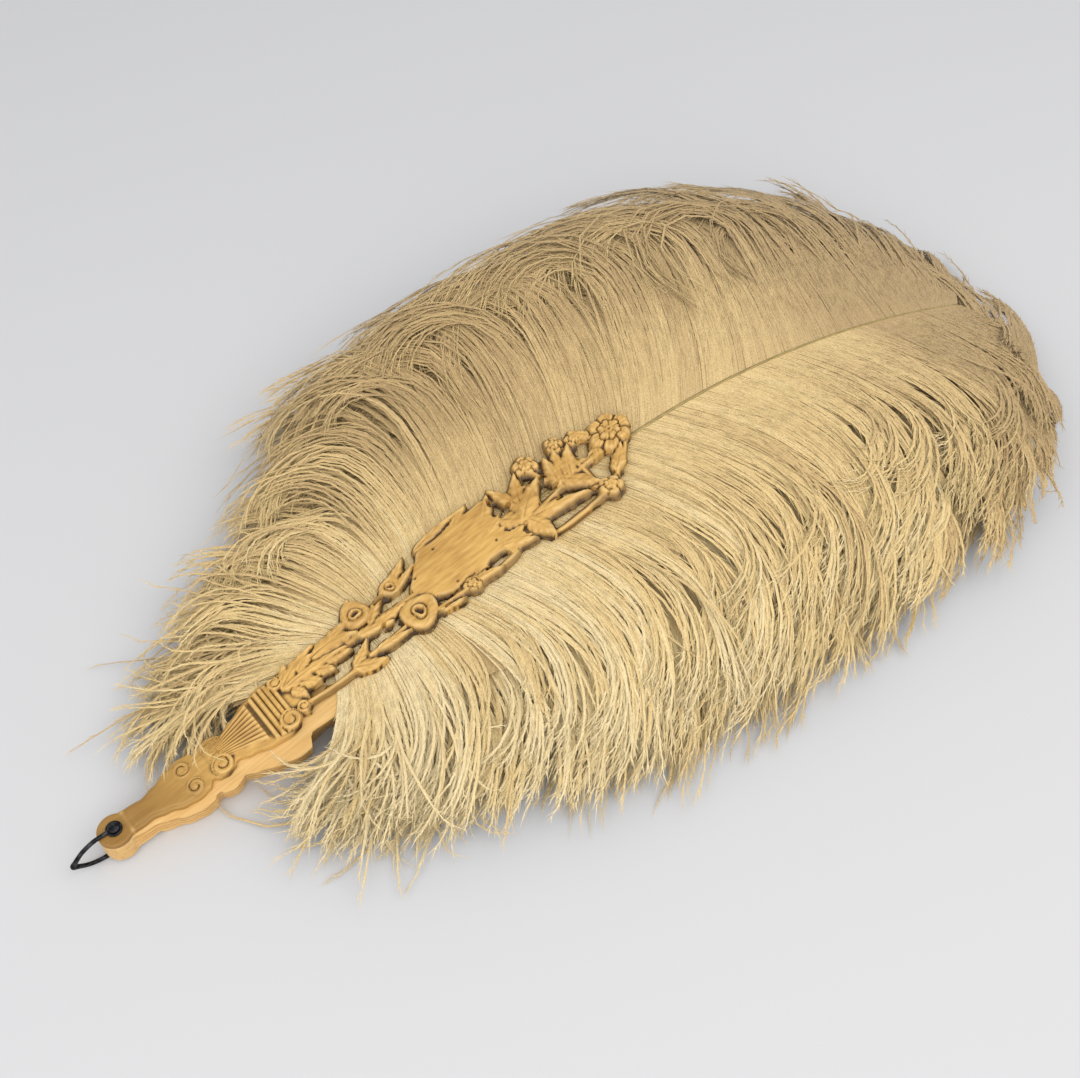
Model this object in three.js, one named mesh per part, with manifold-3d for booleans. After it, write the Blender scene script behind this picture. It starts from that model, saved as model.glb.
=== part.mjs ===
// A folding ostrich feather fan, closed and lying on its rear guard.
// Millimetres, +Z up, +X from the rivet towards the feather tips, +Y the far side of the guard.
// The rivet stands upright. The height of every stick depends only on the distance from the rivet, so the
// sticks slide over each other at any opening of the fan. The plumes of the closed fan make a heap, which
// sinks to the near rim and swells to the far one. Opening the fan turns an upper plume further to the near
// side than a lower one, so it stays on top of it.
import * as THREE from 'three';
import { mergeVertices } from 'three/addons/utils/BufferGeometryUtils.js';
import Module from 'manifold-3d';

const wasm = await Module();
wasm.setup();

// Sticks and guards
const INNER_STICKS = 8;
const STICK_THICKNESS = 0.95;
const STICK_GAP = 0.15;
const HEAD_RADIUS = 7;
const GUARD_LENGTH = 263;
const REAR_GUARD_THICKNESS = 3.4;
const FRONT_PLATE_THICKNESS = 2.2;
const TONGUE_LENGTH = 125;
const TONGUE_ROOT_HALF = 6.5;
const TONGUE_TIP_HALF = 2.6;

// Rivet and bail
const PIN_RADIUS = 1.5;
const PIN_CLEARANCE = 0.3;
const RIVET_HEAD_RADIUS = 2.4;
const RIVET_HEAD_HEIGHT = 0.75;
const RIVET_CAP_HEIGHT = 1.3;
const BAIL_WIRE = 1.8;
const BAIL_EYE_RADIUS = 3.3;
const BAIL_EYE_THICKNESS = 1.0;
const BAIL_REACH = 20.5;
const BAIL_SHOULDER = 14;
const RIVET_PLAY = 0.15;

// Plumes
const VANE_START = 105;
const SHAFT_LENGTH = 345;
const SHAFT_LAP = 6;
const SHAFT_ROOT_HALF = 1.2;
const SHAFT_TIP_HALF = 0.5;
const SHAFT_OFFSET = 4;
const SHAFT_SWEEP = 30;
const SHAFT_SWEEP_POWER = 1.4;
const SHAFT_GAP = 0.3;
const PLUME_GAP = 0.4;
const BARB_LENGTH_BOTTOM = 142;
const BARB_LENGTH_TOP = 130;
const BARB_SHARE_PER_DEGREE = 0.03;
const BARB_ANGLE_ROOT = 116;
const BARB_ANGLE_TIP = 17;
const VANE_EDGE_HALF = 0.25;
const TABLE_GAP = 0.2;
const PLUME_RISE_AT_TIP = 3.85;
const HEAD_FLAT_RADIUS = 14;
const BEND_END_RADIUS = 38;
const CREST_BEYOND_TIP = 50;
const CREST_SHARE = 0.085;
const FALL_LENGTH = 150;
const FALL_SHARE = 0.6;

// Heap of the closed fan by the distance from the top shaft: level at the sticks, then down or up to its rim
const NEAR_LEVEL = 30;
const NEAR_SINK = 0.92;
const FAR_LEVEL = 20;
const FAR_SWELL = 0.16;
const RIM_PITCH = 1.3;

// Rest turn of each stick from the rear guard, in degrees, rear guard first and front guard last
const REST_TURNS = [0, -3, 1, -4, -1, -5, -2, 0.5, -7, 0];

// Outline of the gorge as distance from the rivet and half width: neck, two volutes and flare
const NECK = [[9.5, 5.4], [14, 5.0], [20, 6.6], [27, 9.3], [33, 10.2], [37.5, 9.4], [40.3, 6.9]];
const FLARE = [[43, 9.0], [46.3, 9.7], [49.5, 8.7], [51.8, 6.8], [58, 9.2], [66, 11.9], [74, 13.4],
  [79, 12.8]];
const GORGE = [...NECK, ...FLARE];
const COLLAR_END = 82;
// Outline of the carved spray above the collar, measured from the rivet
const SPRAY_FAR = [[82, 11.5], [90, 11], [102, 12], [113, 12.5], [122, 16], [130, 14.5], [137, 14],
  [146, 17.5]];
const SPRAY_NEAR = [[82, 9.5], [90, 7.8], [107, 9.5], [116, 12.5], [126, 10.8], [134, 12], [143, 14],
  [151, 12]];
// The plain shield lies between the spray and the bouquet
const SHIELD_FAR = 20;
const SHIELD_NEAR = 14.2;
const SHIELD_START = 147;
const BOUQUET_LENGTH = 66;
// Outline of the bouquet, measured from its own start
const BOUQUET_FAR = [[0, 18], [9, 15], [18, 19.5], [29, 18.5], [39, 18], [48, 14.5], [57, 15.5], [64, 10],
  [66, 6]];
const BOUQUET_NEAR = [[0, 13], [7, 15.5], [18, 16.5], [29, 16.5], [38, 19], [45, 15.5], [52, 9], [60, 4],
  [66, -2]];

const WOOD = '#cda05f';
const SHADED_WOOD = '#b98b4e';
const QUILL = '#a88a4a';
const FEATHER = '#d7be8c';
const DARK_STEEL = '#26282c';

const plumeCount = INNER_STICKS + 2;
const front = plumeCount - 1;
const stickPitch = STICK_THICKNESS + STICK_GAP;
const bouquetStart = GUARD_LENGTH - BOUQUET_LENGTH;
const shieldLength = bouquetStart - SHIELD_START;
const tongueEnd = COLLAR_END + TONGUE_LENGTH;
const shaftEnd = VANE_START + SHAFT_LENGTH;
const heapRim = BARB_LENGTH_BOTTOM;
const radians = THREE.MathUtils.degToRad;
const { clamp, lerp, smoothstep } = THREE.MathUtils;

// Levels of the stack

// Rise of one plume layer: none at the flat head, then a bend into a steady taper.
function plumeRise(radius) {
  const taperStart = (HEAD_FLAT_RADIUS + BEND_END_RADIUS) / 2;
  const slope = PLUME_RISE_AT_TIP / (GUARD_LENGTH - taperStart);
  if (radius <= HEAD_FLAT_RADIUS) return 0;
  if (radius < BEND_END_RADIUS) {
    return slope * (radius - HEAD_FLAT_RADIUS) ** 2 / (2 * (BEND_END_RADIUS - HEAD_FLAT_RADIUS));
  }
  return slope * (radius - taperStart);
}

// Share of the level at the guard tips: plumes rise to a crest past the tips and droop beyond it.
function droop(radius) {
  const past = radius - GUARD_LENGTH - CREST_BEYOND_TIP;
  if (past < 0) return 1 + CREST_SHARE * (1 - (past / CREST_BEYOND_TIP) ** 2);
  return 1 + CREST_SHARE - FALL_SHARE * (past / FALL_LENGTH) ** 2;
}

function stickUnderside(index, radius) {
  const head = REAR_GUARD_THICKNESS + STICK_GAP + (index - 1) * stickPitch;
  return head + (index + 1) * plumeRise(radius);
}

// Lower and upper bound of a plume's layer on the sticks.
function plumeLayer(index, radius) {
  const inner = Math.min(radius, GUARD_LENGTH);
  const share = radius > GUARD_LENGTH ? droop(radius) : 1;
  const head = REAR_GUARD_THICKNESS + STICK_GAP + Math.max(0, index - 1) * stickPitch;
  const low = head + index * plumeRise(inner);
  const high = low + plumeRise(inner) - PLUME_GAP;
  return [low * share, high * share];
}

// The shaft runs straight along its stick, and past the stick's end it sweeps to the near side.
function shaftLine(x) {
  const free = Math.max(0, x - tongueEnd) / (shaftEnd - tongueEnd);
  return SHAFT_OFFSET - SHAFT_SWEEP * free ** SHAFT_SWEEP_POWER;
}

// Share of a layer's height that the heap has at a place of the closed fan.
function heapShare(x, y) {
  const off = y - shaftLine(x);
  const near = clamp((-off - NEAR_LEVEL) / (heapRim - NEAR_LEVEL), 0, 1);
  return 1 - NEAR_SINK * near * near + FAR_SWELL * smoothstep(off, FAR_LEVEL, heapRim);
}

// Lower and upper bound of a plume at a place of its own leaf.
function plumeBounds(index, x, y) {
  const turn = radians(REST_TURNS[index]);
  const restX = x * Math.cos(turn) - y * Math.sin(turn);
  const restY = x * Math.sin(turn) + y * Math.cos(turn);
  const share = heapShare(restX, restY);
  const rim = TABLE_GAP + index * RIM_PITCH;
  return plumeLayer(index, Math.hypot(x, y)).map((level) => lerp(rim, level, share));
}

// Solids

function solid(geometry) {
  const bare = geometry.clone();
  bare.deleteAttribute('normal');
  bare.deleteAttribute('uv');
  const merged = mergeVertices(bare, 1e-4);
  const index = merged.index.array;
  const triangles = [];
  for (let i = 0; i < index.length; i += 3) {
    const [a, b, c] = [index[i], index[i + 1], index[i + 2]];
    if (a !== b && b !== c && c !== a) triangles.push(a, b, c);
  }
  const vertProperties = new Float32Array(merged.attributes.position.array);
  const triVerts = new Uint32Array(triangles);
  return new wasm.Manifold(new wasm.Mesh({ numProp: 3, vertProperties, triVerts }));
}

function geometryOf(manifold) {
  const mesh = manifold.getMesh();
  const geometry = new THREE.BufferGeometry();
  geometry.setAttribute('position', new THREE.BufferAttribute(new Float32Array(mesh.vertProperties), 3));
  geometry.setIndex(new THREE.BufferAttribute(new Uint32Array(mesh.triVerts), 1));
  return geometry;
}

function indexed(points, triangles) {
  const geometry = new THREE.BufferGeometry();
  geometry.setAttribute('position', new THREE.Float32BufferAttribute(points.flat(), 3));
  geometry.setIndex(triangles);
  return geometry;
}

// A sheet with thickness: two grids of points, joined along their borders.
function slab(bottom, top) {
  const rows = bottom.length;
  const columns = bottom[0].length;
  const points = [...bottom.flat(), ...top.flat()];
  const low = (i, j) => i * columns + j;
  const high = (i, j) => (rows + i) * columns + j;
  const triangles = [];
  const quad = (a, b, c, d) => triangles.push(a, b, c, a, c, d);
  for (let i = 0; i + 1 < rows; i += 1) {
    for (let j = 0; j + 1 < columns; j += 1) {
      quad(high(i, j), high(i + 1, j), high(i + 1, j + 1), high(i, j + 1));
      quad(low(i, j), low(i, j + 1), low(i + 1, j + 1), low(i + 1, j));
    }
    quad(low(i, 0), low(i + 1, 0), high(i + 1, 0), high(i, 0));
    const last = columns - 1;
    quad(low(i + 1, last), low(i, last), high(i, last), high(i + 1, last));
  }
  for (let j = 0; j + 1 < columns; j += 1) {
    quad(low(0, j + 1), low(0, j), high(0, j), high(0, j + 1));
    quad(low(rows - 1, j), low(rows - 1, j + 1), high(rows - 1, j + 1), high(rows - 1, j));
  }
  return indexed(points, triangles);
}

// A tube through closed rings of points, capped at both ends.
function tube(rings) {
  const sides = rings[0].length;
  const triangles = [];
  for (let i = 0; i + 1 < rings.length; i += 1) {
    for (let j = 0; j < sides; j += 1) {
      const next = (j + 1) % sides;
      const [a, b] = [i * sides + j, i * sides + next];
      triangles.push(a, b, b + sides, a, b + sides, a + sides);
    }
  }
  const end = (rings.length - 1) * sides;
  for (let j = 1; j + 1 < sides; j += 1) {
    triangles.push(0, j + 1, j, end, end + j, end + j + 1);
  }
  return indexed(rings.flat(), triangles);
}

function cylinder(radius, low, high, sides = 18) {
  const geometry = new THREE.CylinderGeometry(radius, radius, high - low, sides);
  return geometry.rotateX(Math.PI / 2).translate(0, 0, (low + high) / 2);
}

const pinHole = solid(cylinder(PIN_RADIUS + PIN_CLEARANCE, -10, 60));

// Outlines of sticks and guards

// Half width at x on a smooth curve through hand-picked points.
function widthAt(points, x) {
  const last = points.length - 1;
  let i = 0;
  while (i < last - 1 && points[i + 1][0] < x) i += 1;
  const [x0, y0] = points[i];
  const [x1, y1] = points[i + 1];
  const share = clamp((x - x0) / (x1 - x0), 0, 1);
  return lerp(y0, y1, share * share * (3 - 2 * share));
}

// Stations along the round head, from its back edge to where the neck starts.
function headStations() {
  const turns = [180, 152, 124, 90, 55];
  return turns.map((turn) => {
    const half = Math.max(0.4, HEAD_RADIUS * Math.sin(radians(turn)));
    return [HEAD_RADIUS * Math.cos(radians(turn)), half, half];
  });
}

function gorgeStations() {
  const fine = [17];
  const stations = [...GORGE.map((point) => point[0]), ...fine].sort((a, b) => a - b);
  return stations.map((x) => [x, widthAt(GORGE, x), widthAt(GORGE, x)]);
}

// Guards go on past the collar with the outline of the carved spray, shield and bouquet.
function guardStations() {
  const shifted = (points) => points.map(([x, half]) => [bouquetStart + x, half]);
  const shieldFar = [[SHIELD_START + 12, SHIELD_FAR], [bouquetStart - 8, SHIELD_FAR]];
  const shieldNear = [[SHIELD_START + 14, SHIELD_NEAR], [bouquetStart - 8, SHIELD_NEAR]];
  const far = [...SPRAY_FAR, ...shieldFar, ...shifted(BOUQUET_FAR)];
  const near = [...SPRAY_NEAR, ...shieldNear, ...shifted(BOUQUET_NEAR)];
  const places = [...far, ...near].map((point) => point[0]).sort((a, b) => a - b);
  const apart = places.filter((x, i) => i === 0 || x - places[i - 1] > 2.5);
  const spray = apart.map((x) => [x, widthAt(far, x), widthAt(near, x)]);
  return [...headStations(), ...gorgeStations(), ...spray];
}

function tongueStations() {
  const steps = 2;
  const stations = [];
  for (let i = 0; i <= steps; i += 1) {
    const half = lerp(TONGUE_ROOT_HALF, TONGUE_TIP_HALF, i / steps);
    stations.push([COLLAR_END + TONGUE_LENGTH * i / steps, half, half]);
  }
  return stations;
}

// A strip with the given outline between two levels, each a function of x and y.
// Its rows have points at the given shares of the width.
function strip(stations, underside, topside, shares = [0, 1]) {
  const row = (level) => ([x, far, near]) => {
    const places = shares.map((share) => lerp(-near, far, share));
    return places.map((y) => [x, y, level(x, y)]);
  };
  return slab(stations.map(row(underside)), stations.map(row(topside)));
}

function stickGeometry(index) {
  const stations = [...headStations(), ...gorgeStations(), ...tongueStations()];
  const underside = (x, y) => stickUnderside(index, Math.hypot(x, y));
  const topside = (x, y) => underside(x, y) + STICK_THICKNESS;
  return geometryOf(solid(strip(stations, underside, topside, [0, 0.5, 1])).subtract(pinHole));
}

// The rear guard is plain, and thinner under the rivet so that the lower head and the bail clear the table.
const recessDepth = RIVET_PLAY * 3 + RIVET_HEAD_HEIGHT + BAIL_EYE_THICKNESS;
const recessRadius = BAIL_SHOULDER + BAIL_WIRE;

function rearGuardGeometry() {
  const blank = strip(guardStations(), () => 0, () => REAR_GUARD_THICKNESS);
  const recess = solid(cylinder(recessRadius, -1, recessDepth, 36));
  return geometryOf(solid(blank).subtract(recess).subtract(pinHole));
}

// Carving of the front guard, which is bent along its length only and so flat across.
// Heights are measured from the guard's underside.

const guardLevel = (x, height) => stickUnderside(front, x) + height;
const RELIEF_ROOT = 0.4;

// Bends a flat motif onto the slope of the guard.
function onGuard(geometry) {
  const position = geometry.attributes.position;
  for (let i = 0; i < position.count; i += 1) {
    position.setZ(i, guardLevel(position.getX(i), position.getZ(i)));
  }
  return solid(geometry);
}

// A ridged blade from one point to another: a leaf, a flute, a reed or a stem by its widths.
function blade({ from, to, widths, edge, ridge, bow = 0 }) {
  const axis = new THREE.Vector2(to[0] - from[0], to[1] - from[1]);
  const side = new THREE.Vector2(-axis.y, axis.x).normalize();
  const bottom = [];
  const top = [];
  widths.forEach((half, i) => {
    const share = i / (widths.length - 1);
    const offset = bow * 4 * share * (1 - share);
    const x = from[0] + axis.x * share + side.x * offset;
    const y = from[1] + axis.y * share + side.y * offset;
    const places = [-half, 0, half].map((w) => [x + side.x * w, y + side.y * w]);
    bottom.push(places.map(([px, py]) => [px, py, RELIEF_ROOT]));
    top.push(places.map(([px, py], j) => [px, py, j === 1 ? ridge : edge]));
  });
  return onGuard(slab(bottom, top));
}

const leaf = (from, to, half, bow = 0, ridge = 3.9) =>
  blade({ from, to, widths: [half * 0.35, half, half * 0.75, 0.2], edge: 2.7, ridge, bow });

const stem = (from, to, half = 0.9, bow = 0) =>
  blade({ from, to, widths: [half, half, half], edge: 2.2, ridge: 2.9, bow });

// A turned boss: a rim, a hollow ring and a button, as a volute's eye or an open rose.
function boss([x, y], radius, height) {
  const profile = [[0, RELIEF_ROOT], [radius, RELIEF_ROOT], [radius, height * 0.75], [radius * 0.8, height],
    [radius * 0.45, height * 0.72], [0, height * 0.95]];
  const points = profile.map(([r, z]) => new THREE.Vector2(r, z));
  return onGuard(new THREE.LatheGeometry(points, 7).rotateX(Math.PI / 2).translate(x, y, 0));
}

// A flower of plump petals round a button.
function flower([x, y], radius, petals, height) {
  const parts = [];
  for (let i = 0; i < petals; i += 1) {
    const turn = 2 * Math.PI * (i + 0.35) / petals;
    const petal = new THREE.SphereGeometry(1, 5, 3);
    petal.scale(radius * 0.46, radius * 0.4, height * 0.42);
    petal.translate(radius * 0.55, 0, height * 0.55).rotateZ(turn).translate(x, y, 0);
    parts.push(onGuard(petal));
  }
  const button = new THREE.SphereGeometry(radius * 0.28, 6, 3);
  const bed = cylinder(radius * 0.62, RELIEF_ROOT, height * 0.6, 8);
  parts.push(onGuard(button.translate(x, y, height * 0.8)), onGuard(bed.translate(x, y, 0)));
  return parts;
}

// A slot with round ends, cut right through.
function piercing([x0, y0], [x1, y1], half) {
  const turn = Math.atan2(y1 - y0, x1 - x0);
  const shape = new THREE.Shape();
  shape.absarc(x1, y1, half, turn - Math.PI / 2, turn + Math.PI / 2);
  shape.absarc(x0, y0, half, turn + Math.PI / 2, turn + 1.5 * Math.PI);
  const cut = new THREE.ExtrudeGeometry(shape, { depth: 120, bevelEnabled: false, curveSegments: 3 });
  return solid(cut.translate(0, 0, -10));
}

const FLUTES = 9;
const FLUTES_START = 42;
const FLUTES_END = 66;
const FLUTES_FAN = 0.25;
const REEDS = [69, 71.6, 74.2, 76.4, 78.6];

function gorgeCarving() {
  const motifs = [];
  const flare = widthAt(GORGE, FLUTES_END) - 1;
  for (let i = 0; i < FLUTES; i += 1) {
    const y = lerp(-flare, flare, i / (FLUTES - 1));
    const [from, to] = [[FLUTES_START, y * FLUTES_FAN], [FLUTES_END, y]];
    motifs.push(blade({ from, to, widths: [0.25, 1.1], edge: 2.1, ridge: 3.2 }));
  }
  for (const x of REEDS) {
    const half = widthAt(GORGE, x) - 1;
    motifs.push(blade({ from: [x, -half], to: [x, half], widths: [0.9, 0.9, 0.9], edge: 2.3, ridge: 3.4 }));
  }
  motifs.push(blade({ from: [7, 0], to: [31, 0], widths: [4.2, 4.4, 5.2, 6.4], edge: 2.7, ridge: 2.8 }));
  for (const side of [-1, 1]) {
    motifs.push(boss([35, side * 5.6], 4.1, 3.2), boss([46.3, side * 5.4], 3.8, 3.2));
    motifs.push(boss([79.5, side * 9.6], 3.2, 3.4));
  }
  return motifs;
}

function sprayCarving() {
  const motifs = [stem([84, -6.5], [109, -9], 1, -0.6), stem([110, 4], [147, 4], 1.1)];
  const acanthus = [[[82, 3], [97, 11.5]], [[90, 4], [108, 12]], [[82, 1], [95, -5.5]],
    [[92, 1], [106, -2.5]], [[98, 3], [118, 3.5]]];
  for (const [from, to] of acanthus) motifs.push(leaf(from, to, 3.4, 0.8));
  motifs.push(leaf([84, 2.5], [114, 5], 2, 0.6, 4.2));
  motifs.push(leaf([108, -8], [123, -14], 2.8), leaf([109, -7.5], [119, -1.5], 2.2));
  motifs.push(leaf([128, 10], [147, 17], 2.4), leaf([131, 13], [142, 15.5], 2.8));
  motifs.push(leaf([116, 1], [133, -1.5], 2.6), leaf([124, -8], [136, -9.5], 2.2));
  motifs.push(boss([122, 10.6], 6.2, 4.4), boss([142.8, -6.8], 8, 4.8));
  return motifs;
}

// The plain shield, with hollow shoulders at its ends.
function shield() {
  const right = bouquetStart + 1;
  const shape = new THREE.Shape();
  shape.moveTo(SHIELD_START - 1, 5);
  shape.quadraticCurveTo(SHIELD_START + 3, 12, SHIELD_START + 11, SHIELD_FAR - 1.5);
  shape.lineTo(right - 5, SHIELD_FAR - 1.2);
  shape.lineTo(right - 5.5, 5);
  shape.quadraticCurveTo(right - 12, 1, right - 6, -2);
  shape.lineTo(right, -3.5);
  shape.lineTo(right, -11);
  shape.lineTo(right - 11, -12.4);
  shape.lineTo(right - 12, 0.6 - SHIELD_NEAR + 5);
  shape.lineTo(SHIELD_START + 6, 0.6 - SHIELD_NEAR + 4.4);
  shape.quadraticCurveTo(SHIELD_START + 4, -2, SHIELD_START - 1, 5);
  const bevel = { bevelThickness: 0.4, bevelSize: 0.5, bevelSegments: 1 };
  const plate = new THREE.ExtrudeGeometry(shape, { depth: 2.5, curveSegments: 6, ...bevel });
  return onGuard(plate.translate(0, 0, RELIEF_ROOT + 0.2));
}

function bouquetCarving() {
  const at = ([x, y]) => [bouquetStart + x, y];
  const motifs = [];
  const leaves = [[[4, 4], [1, 18.5], 2.4], [[4, -3], [18, 8], 3], [[5, -5], [33, -14], 2.2],
    [[6, -9], [8, -17.5], 2.6], [[27, 2], [36, -9], 2.6], [[26, 4], [38, 14], 3], [[46, 0], [54, -6], 2],
    [[8, 9], [15, 17], 2.2]];
  for (const [from, to, half] of leaves) motifs.push(leaf(at(from), at(to), half));
  motifs.push(stem(at([3, -4]), at([52, 4]), 1), stem(at([7, -16.5]), at([36, -16.5]), 1, 0.5));
  motifs.push(stem(at([37, 14]), at([38, -12]), 0.8), stem(at([42, -14]), at([58, -3]), 0.9, -0.8));
  motifs.push(...flower(at([57, 5]), 10.5, 5, 5), ...flower(at([39, -16]), 6, 5, 4.6));
  motifs.push(...flower(at([20, 19]), 6.2, 6, 4.6), ...flower(at([35, 18]), 4.8, 5, 4.4));
  motifs.push(boss(at([43, 14.5]), 4, 4.2), boss(at([30, 9]), 5.4, 4.6));
  return motifs;
}

function piercings() {
  const spray = [[[92, -4.2], [103, -5.6], 1.5], [[119, -5.6], [126, -3.4], 0.8],
    [[138, 7.5], [144, 7.5], 0.8], [[138, 2], [142, 2], 0.9]];
  const onShield = (share) => SHIELD_START + shieldLength * share;
  const shieldEdge = [[[onShield(0.12), -12.2], [onShield(0.26), -12.6], 0.7],
    [[onShield(0.52), -11.2], [onShield(0.74), -11.2], 1]];
  const at = (x, y) => [bouquetStart + x, y];
  const bouquet = [[at(-3, 6), at(1, 8), 1.4], [at(13, 10.8), at(14, 11.6), 1.1],
    [at(20, 5), at(21, 7.5), 1.2], [at(19, -4.8), at(26, -6.2), 0.9], [at(13, -12.6), at(22, -13), 1],
    [at(41, 5), at(44, 9), 2], [at(42, -3.5), at(48, -3), 1.4], [at(30, -9), at(33, -12), 0.9]];
  return [...spray, ...shieldEdge, ...bouquet].map(([from, to, half]) => piercing(from, to, half));
}

function frontGuardGeometry() {
  const plateTop = (x) => guardLevel(x, FRONT_PLATE_THICKNESS);
  let guard = solid(strip(guardStations(), (x) => guardLevel(x, 0), plateTop));
  const motifs = [...gorgeCarving(), ...sprayCarving(), shield(), ...bouquetCarving()];
  for (const motif of motifs) guard = guard.add(motif);
  for (const cut of piercings()) guard = guard.subtract(cut);
  return geometryOf(guard.subtract(pinHole));
}

// Plumes

function shaftPlace(share) {
  const x = VANE_START + SHAFT_LENGTH * share;
  return [x, shaftLine(x)];
}

const shaftHalf = (share) => lerp(SHAFT_ROOT_HALF, SHAFT_TIP_HALF, share);

// Shafts and vanes have the same stations along the plume, which keeps the gap between them even.
const PLUME_STEPS = 9;
const vaneShares = Array.from({ length: PLUME_STEPS + 1 }, (_, i) => i / PLUME_STEPS);

// A shaft is flat below and ridged above.
function shaftGeometry(index) {
  const sides = 5;
  const rings = [];
  for (const share of [-SHAFT_LAP / SHAFT_LENGTH, ...vaneShares]) {
    const [x, y] = shaftPlace(share);
    const [low, high] = plumeBounds(index, x, y);
    const half = shaftHalf(share);
    const rise = Math.min(half, (high - low) / 2 - 0.05);
    const ring = [];
    for (let j = 0; j < sides; j += 1) {
      const turn = 2 * Math.PI * (j + 0.25) / sides;
      ring.push([x, y + half * Math.cos(turn), (low + high) / 2 + rise * Math.sin(turn)]);
    }
    rings.push(ring);
  }
  return tube(rings);
}

// Barb length along the shaft: short at the wispy root, full at the middle, short again at the tip.
const BARB_PROFILE = [[0, 0.62], [0.2, 0.96], [0.5, 1], [0.75, 0.88], [1, 0.26]];

// A half vane is ruled by its barbs: they point back at the root, outwards, and forward at the tip.
// The lowest plume lies on the table on both sides of the rear guard. A plume that is turned to the near
// side at rest has shorter near barbs and longer far ones, so that all plumes end at about the same rim.
function vaneGeometry(index, side) {
  const acrossSteps = side < 0 ? 5 : 4;
  const spare = BARB_SHARE_PER_DEGREE * REST_TURNS[index];
  const fitted = side < 0 ? 1 + spare : 1 - spare / 2;
  const reach = fitted * lerp(BARB_LENGTH_BOTTOM, BARB_LENGTH_TOP, index / front);
  const bottom = [];
  const top = [];
  for (const share of vaneShares) {
    const [rootX, rootY] = shaftPlace(share);
    const angle = radians(lerp(BARB_ANGLE_ROOT, BARB_ANGLE_TIP, share ** 0.85));
    const length = reach * widthAt(BARB_PROFILE, share);
    const start = shaftHalf(share) + SHAFT_GAP;
    const low = [];
    const high = [];
    for (let j = 0; j <= acrossSteps; j += 1) {
      const across = j / acrossSteps;
      const x = rootX + length * across * Math.cos(angle);
      const y = rootY + side * (start + length * across * Math.sin(angle));
      const [floor, ceiling] = plumeBounds(index, x, y);
      const half = lerp((ceiling - floor) / 2, VANE_EDGE_HALF, across * across);
      low.push([x, y, index === 0 ? TABLE_GAP : (floor + ceiling) / 2 - half]);
      high.push([x, y, (floor + ceiling) / 2 + half]);
    }
    if (side < 0) {
      low.reverse();
      high.reverse();
    }
    bottom.push(low);
    top.push(high);
  }
  const vane = slab(bottom, top);
  return index === 0 ? geometryOf(solid(vane).subtract(rearGuardRoom())) : vane;
}

// The room of the rear guard, with the gap that the vanes above it keep.
function rearGuardRoom() {
  const wider = guardStations().map(([x, far, near]) => [x, far + SHAFT_GAP, near + SHAFT_GAP]);
  const [, far, near] = wider.at(-1);
  wider.push([GUARD_LENGTH + SHAFT_GAP, far, near]);
  return solid(strip(wider, () => -1, () => REAR_GUARD_THICKNESS + SHAFT_GAP));
}

// Rivet and bail

const stackTop = stickUnderside(front, 0) + FRONT_PLATE_THICKNESS;
const lowerEyeBottom = RIVET_PLAY * 2 + RIVET_HEAD_HEIGHT;
const upperEyeBottom = stackTop + RIVET_PLAY;
const capBottom = upperEyeBottom + BAIL_EYE_THICKNESS + RIVET_PLAY;

function rivetPinGeometry() {
  const headTop = RIVET_PLAY + RIVET_HEAD_HEIGHT;
  const profile = [[0, RIVET_PLAY], [RIVET_HEAD_RADIUS * 0.8, RIVET_PLAY],
    [RIVET_HEAD_RADIUS, RIVET_PLAY * 2], [RIVET_HEAD_RADIUS, headTop], [PIN_RADIUS, headTop],
    [PIN_RADIUS, capBottom], [0, capBottom]];
  const points = profile.map(([r, z]) => new THREE.Vector2(r, z));
  return geometryOf(solid(new THREE.LatheGeometry(points, 18).rotateX(Math.PI / 2)));
}

// The cap is a low dome, peened over the end of the pin.
function rivetCapGeometry() {
  const low = capBottom + RIVET_PLAY / 3;
  const points = [new THREE.Vector2(0, low), new THREE.Vector2(RIVET_HEAD_RADIUS, low)];
  const steps = 5;
  for (let i = 0; i <= steps; i += 1) {
    const turn = Math.PI / 2 * i / steps;
    const z = low + 0.3 + (RIVET_CAP_HEIGHT - 0.3) * Math.sin(turn);
    points.push(new THREE.Vector2(RIVET_HEAD_RADIUS * Math.cos(turn), z));
  }
  return geometryOf(solid(new THREE.LatheGeometry(points, 18).rotateX(Math.PI / 2)));
}

// A bent wire with a flattened eye at each end, its legs over and under the stack.
function bailGeometry() {
  const wire = BAIL_WIRE / 2;
  const upper = stackTop + RIVET_PLAY + wire;
  const lower = RIVET_PLAY + wire;
  const middle = (upper + lower) / 2;
  const pinch = BAIL_WIRE * 0.8;
  const start = RIVET_HEAD_RADIUS + PIN_CLEARANCE;
  const path = new THREE.CatmullRomCurve3([[-start, upper], [-start - 2, upper], [-HEAD_RADIUS - 1.5, upper],
    [-BAIL_SHOULDER, upper - 2], [wire - BAIL_REACH + 1.2, middle + pinch], [wire - BAIL_REACH, middle],
    [wire - BAIL_REACH + 1.2, middle - pinch], [-BAIL_SHOULDER, lower + 2], [-HEAD_RADIUS - 1.5, lower],
    [-start - 2, lower], [-start, lower]].map(([x, z]) => new THREE.Vector3(x, 0, z)), false, 'centripetal');
  const round = new THREE.Shape();
  round.absarc(0, 0, wire, 0, 2 * Math.PI);
  let bail = solid(new THREE.ExtrudeGeometry(round, { extrudePath: path, steps: 18, curveSegments: 3 }));
  const eyeHole = solid(cylinder(PIN_RADIUS + PIN_CLEARANCE, -10, 60));
  for (const low of [lowerEyeBottom, upperEyeBottom]) {
    bail = bail.add(solid(cylinder(BAIL_EYE_RADIUS, low, low + BAIL_EYE_THICKNESS)));
  }
  return geometryOf(bail.subtract(eyeHole));
}

// Assembly

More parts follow.
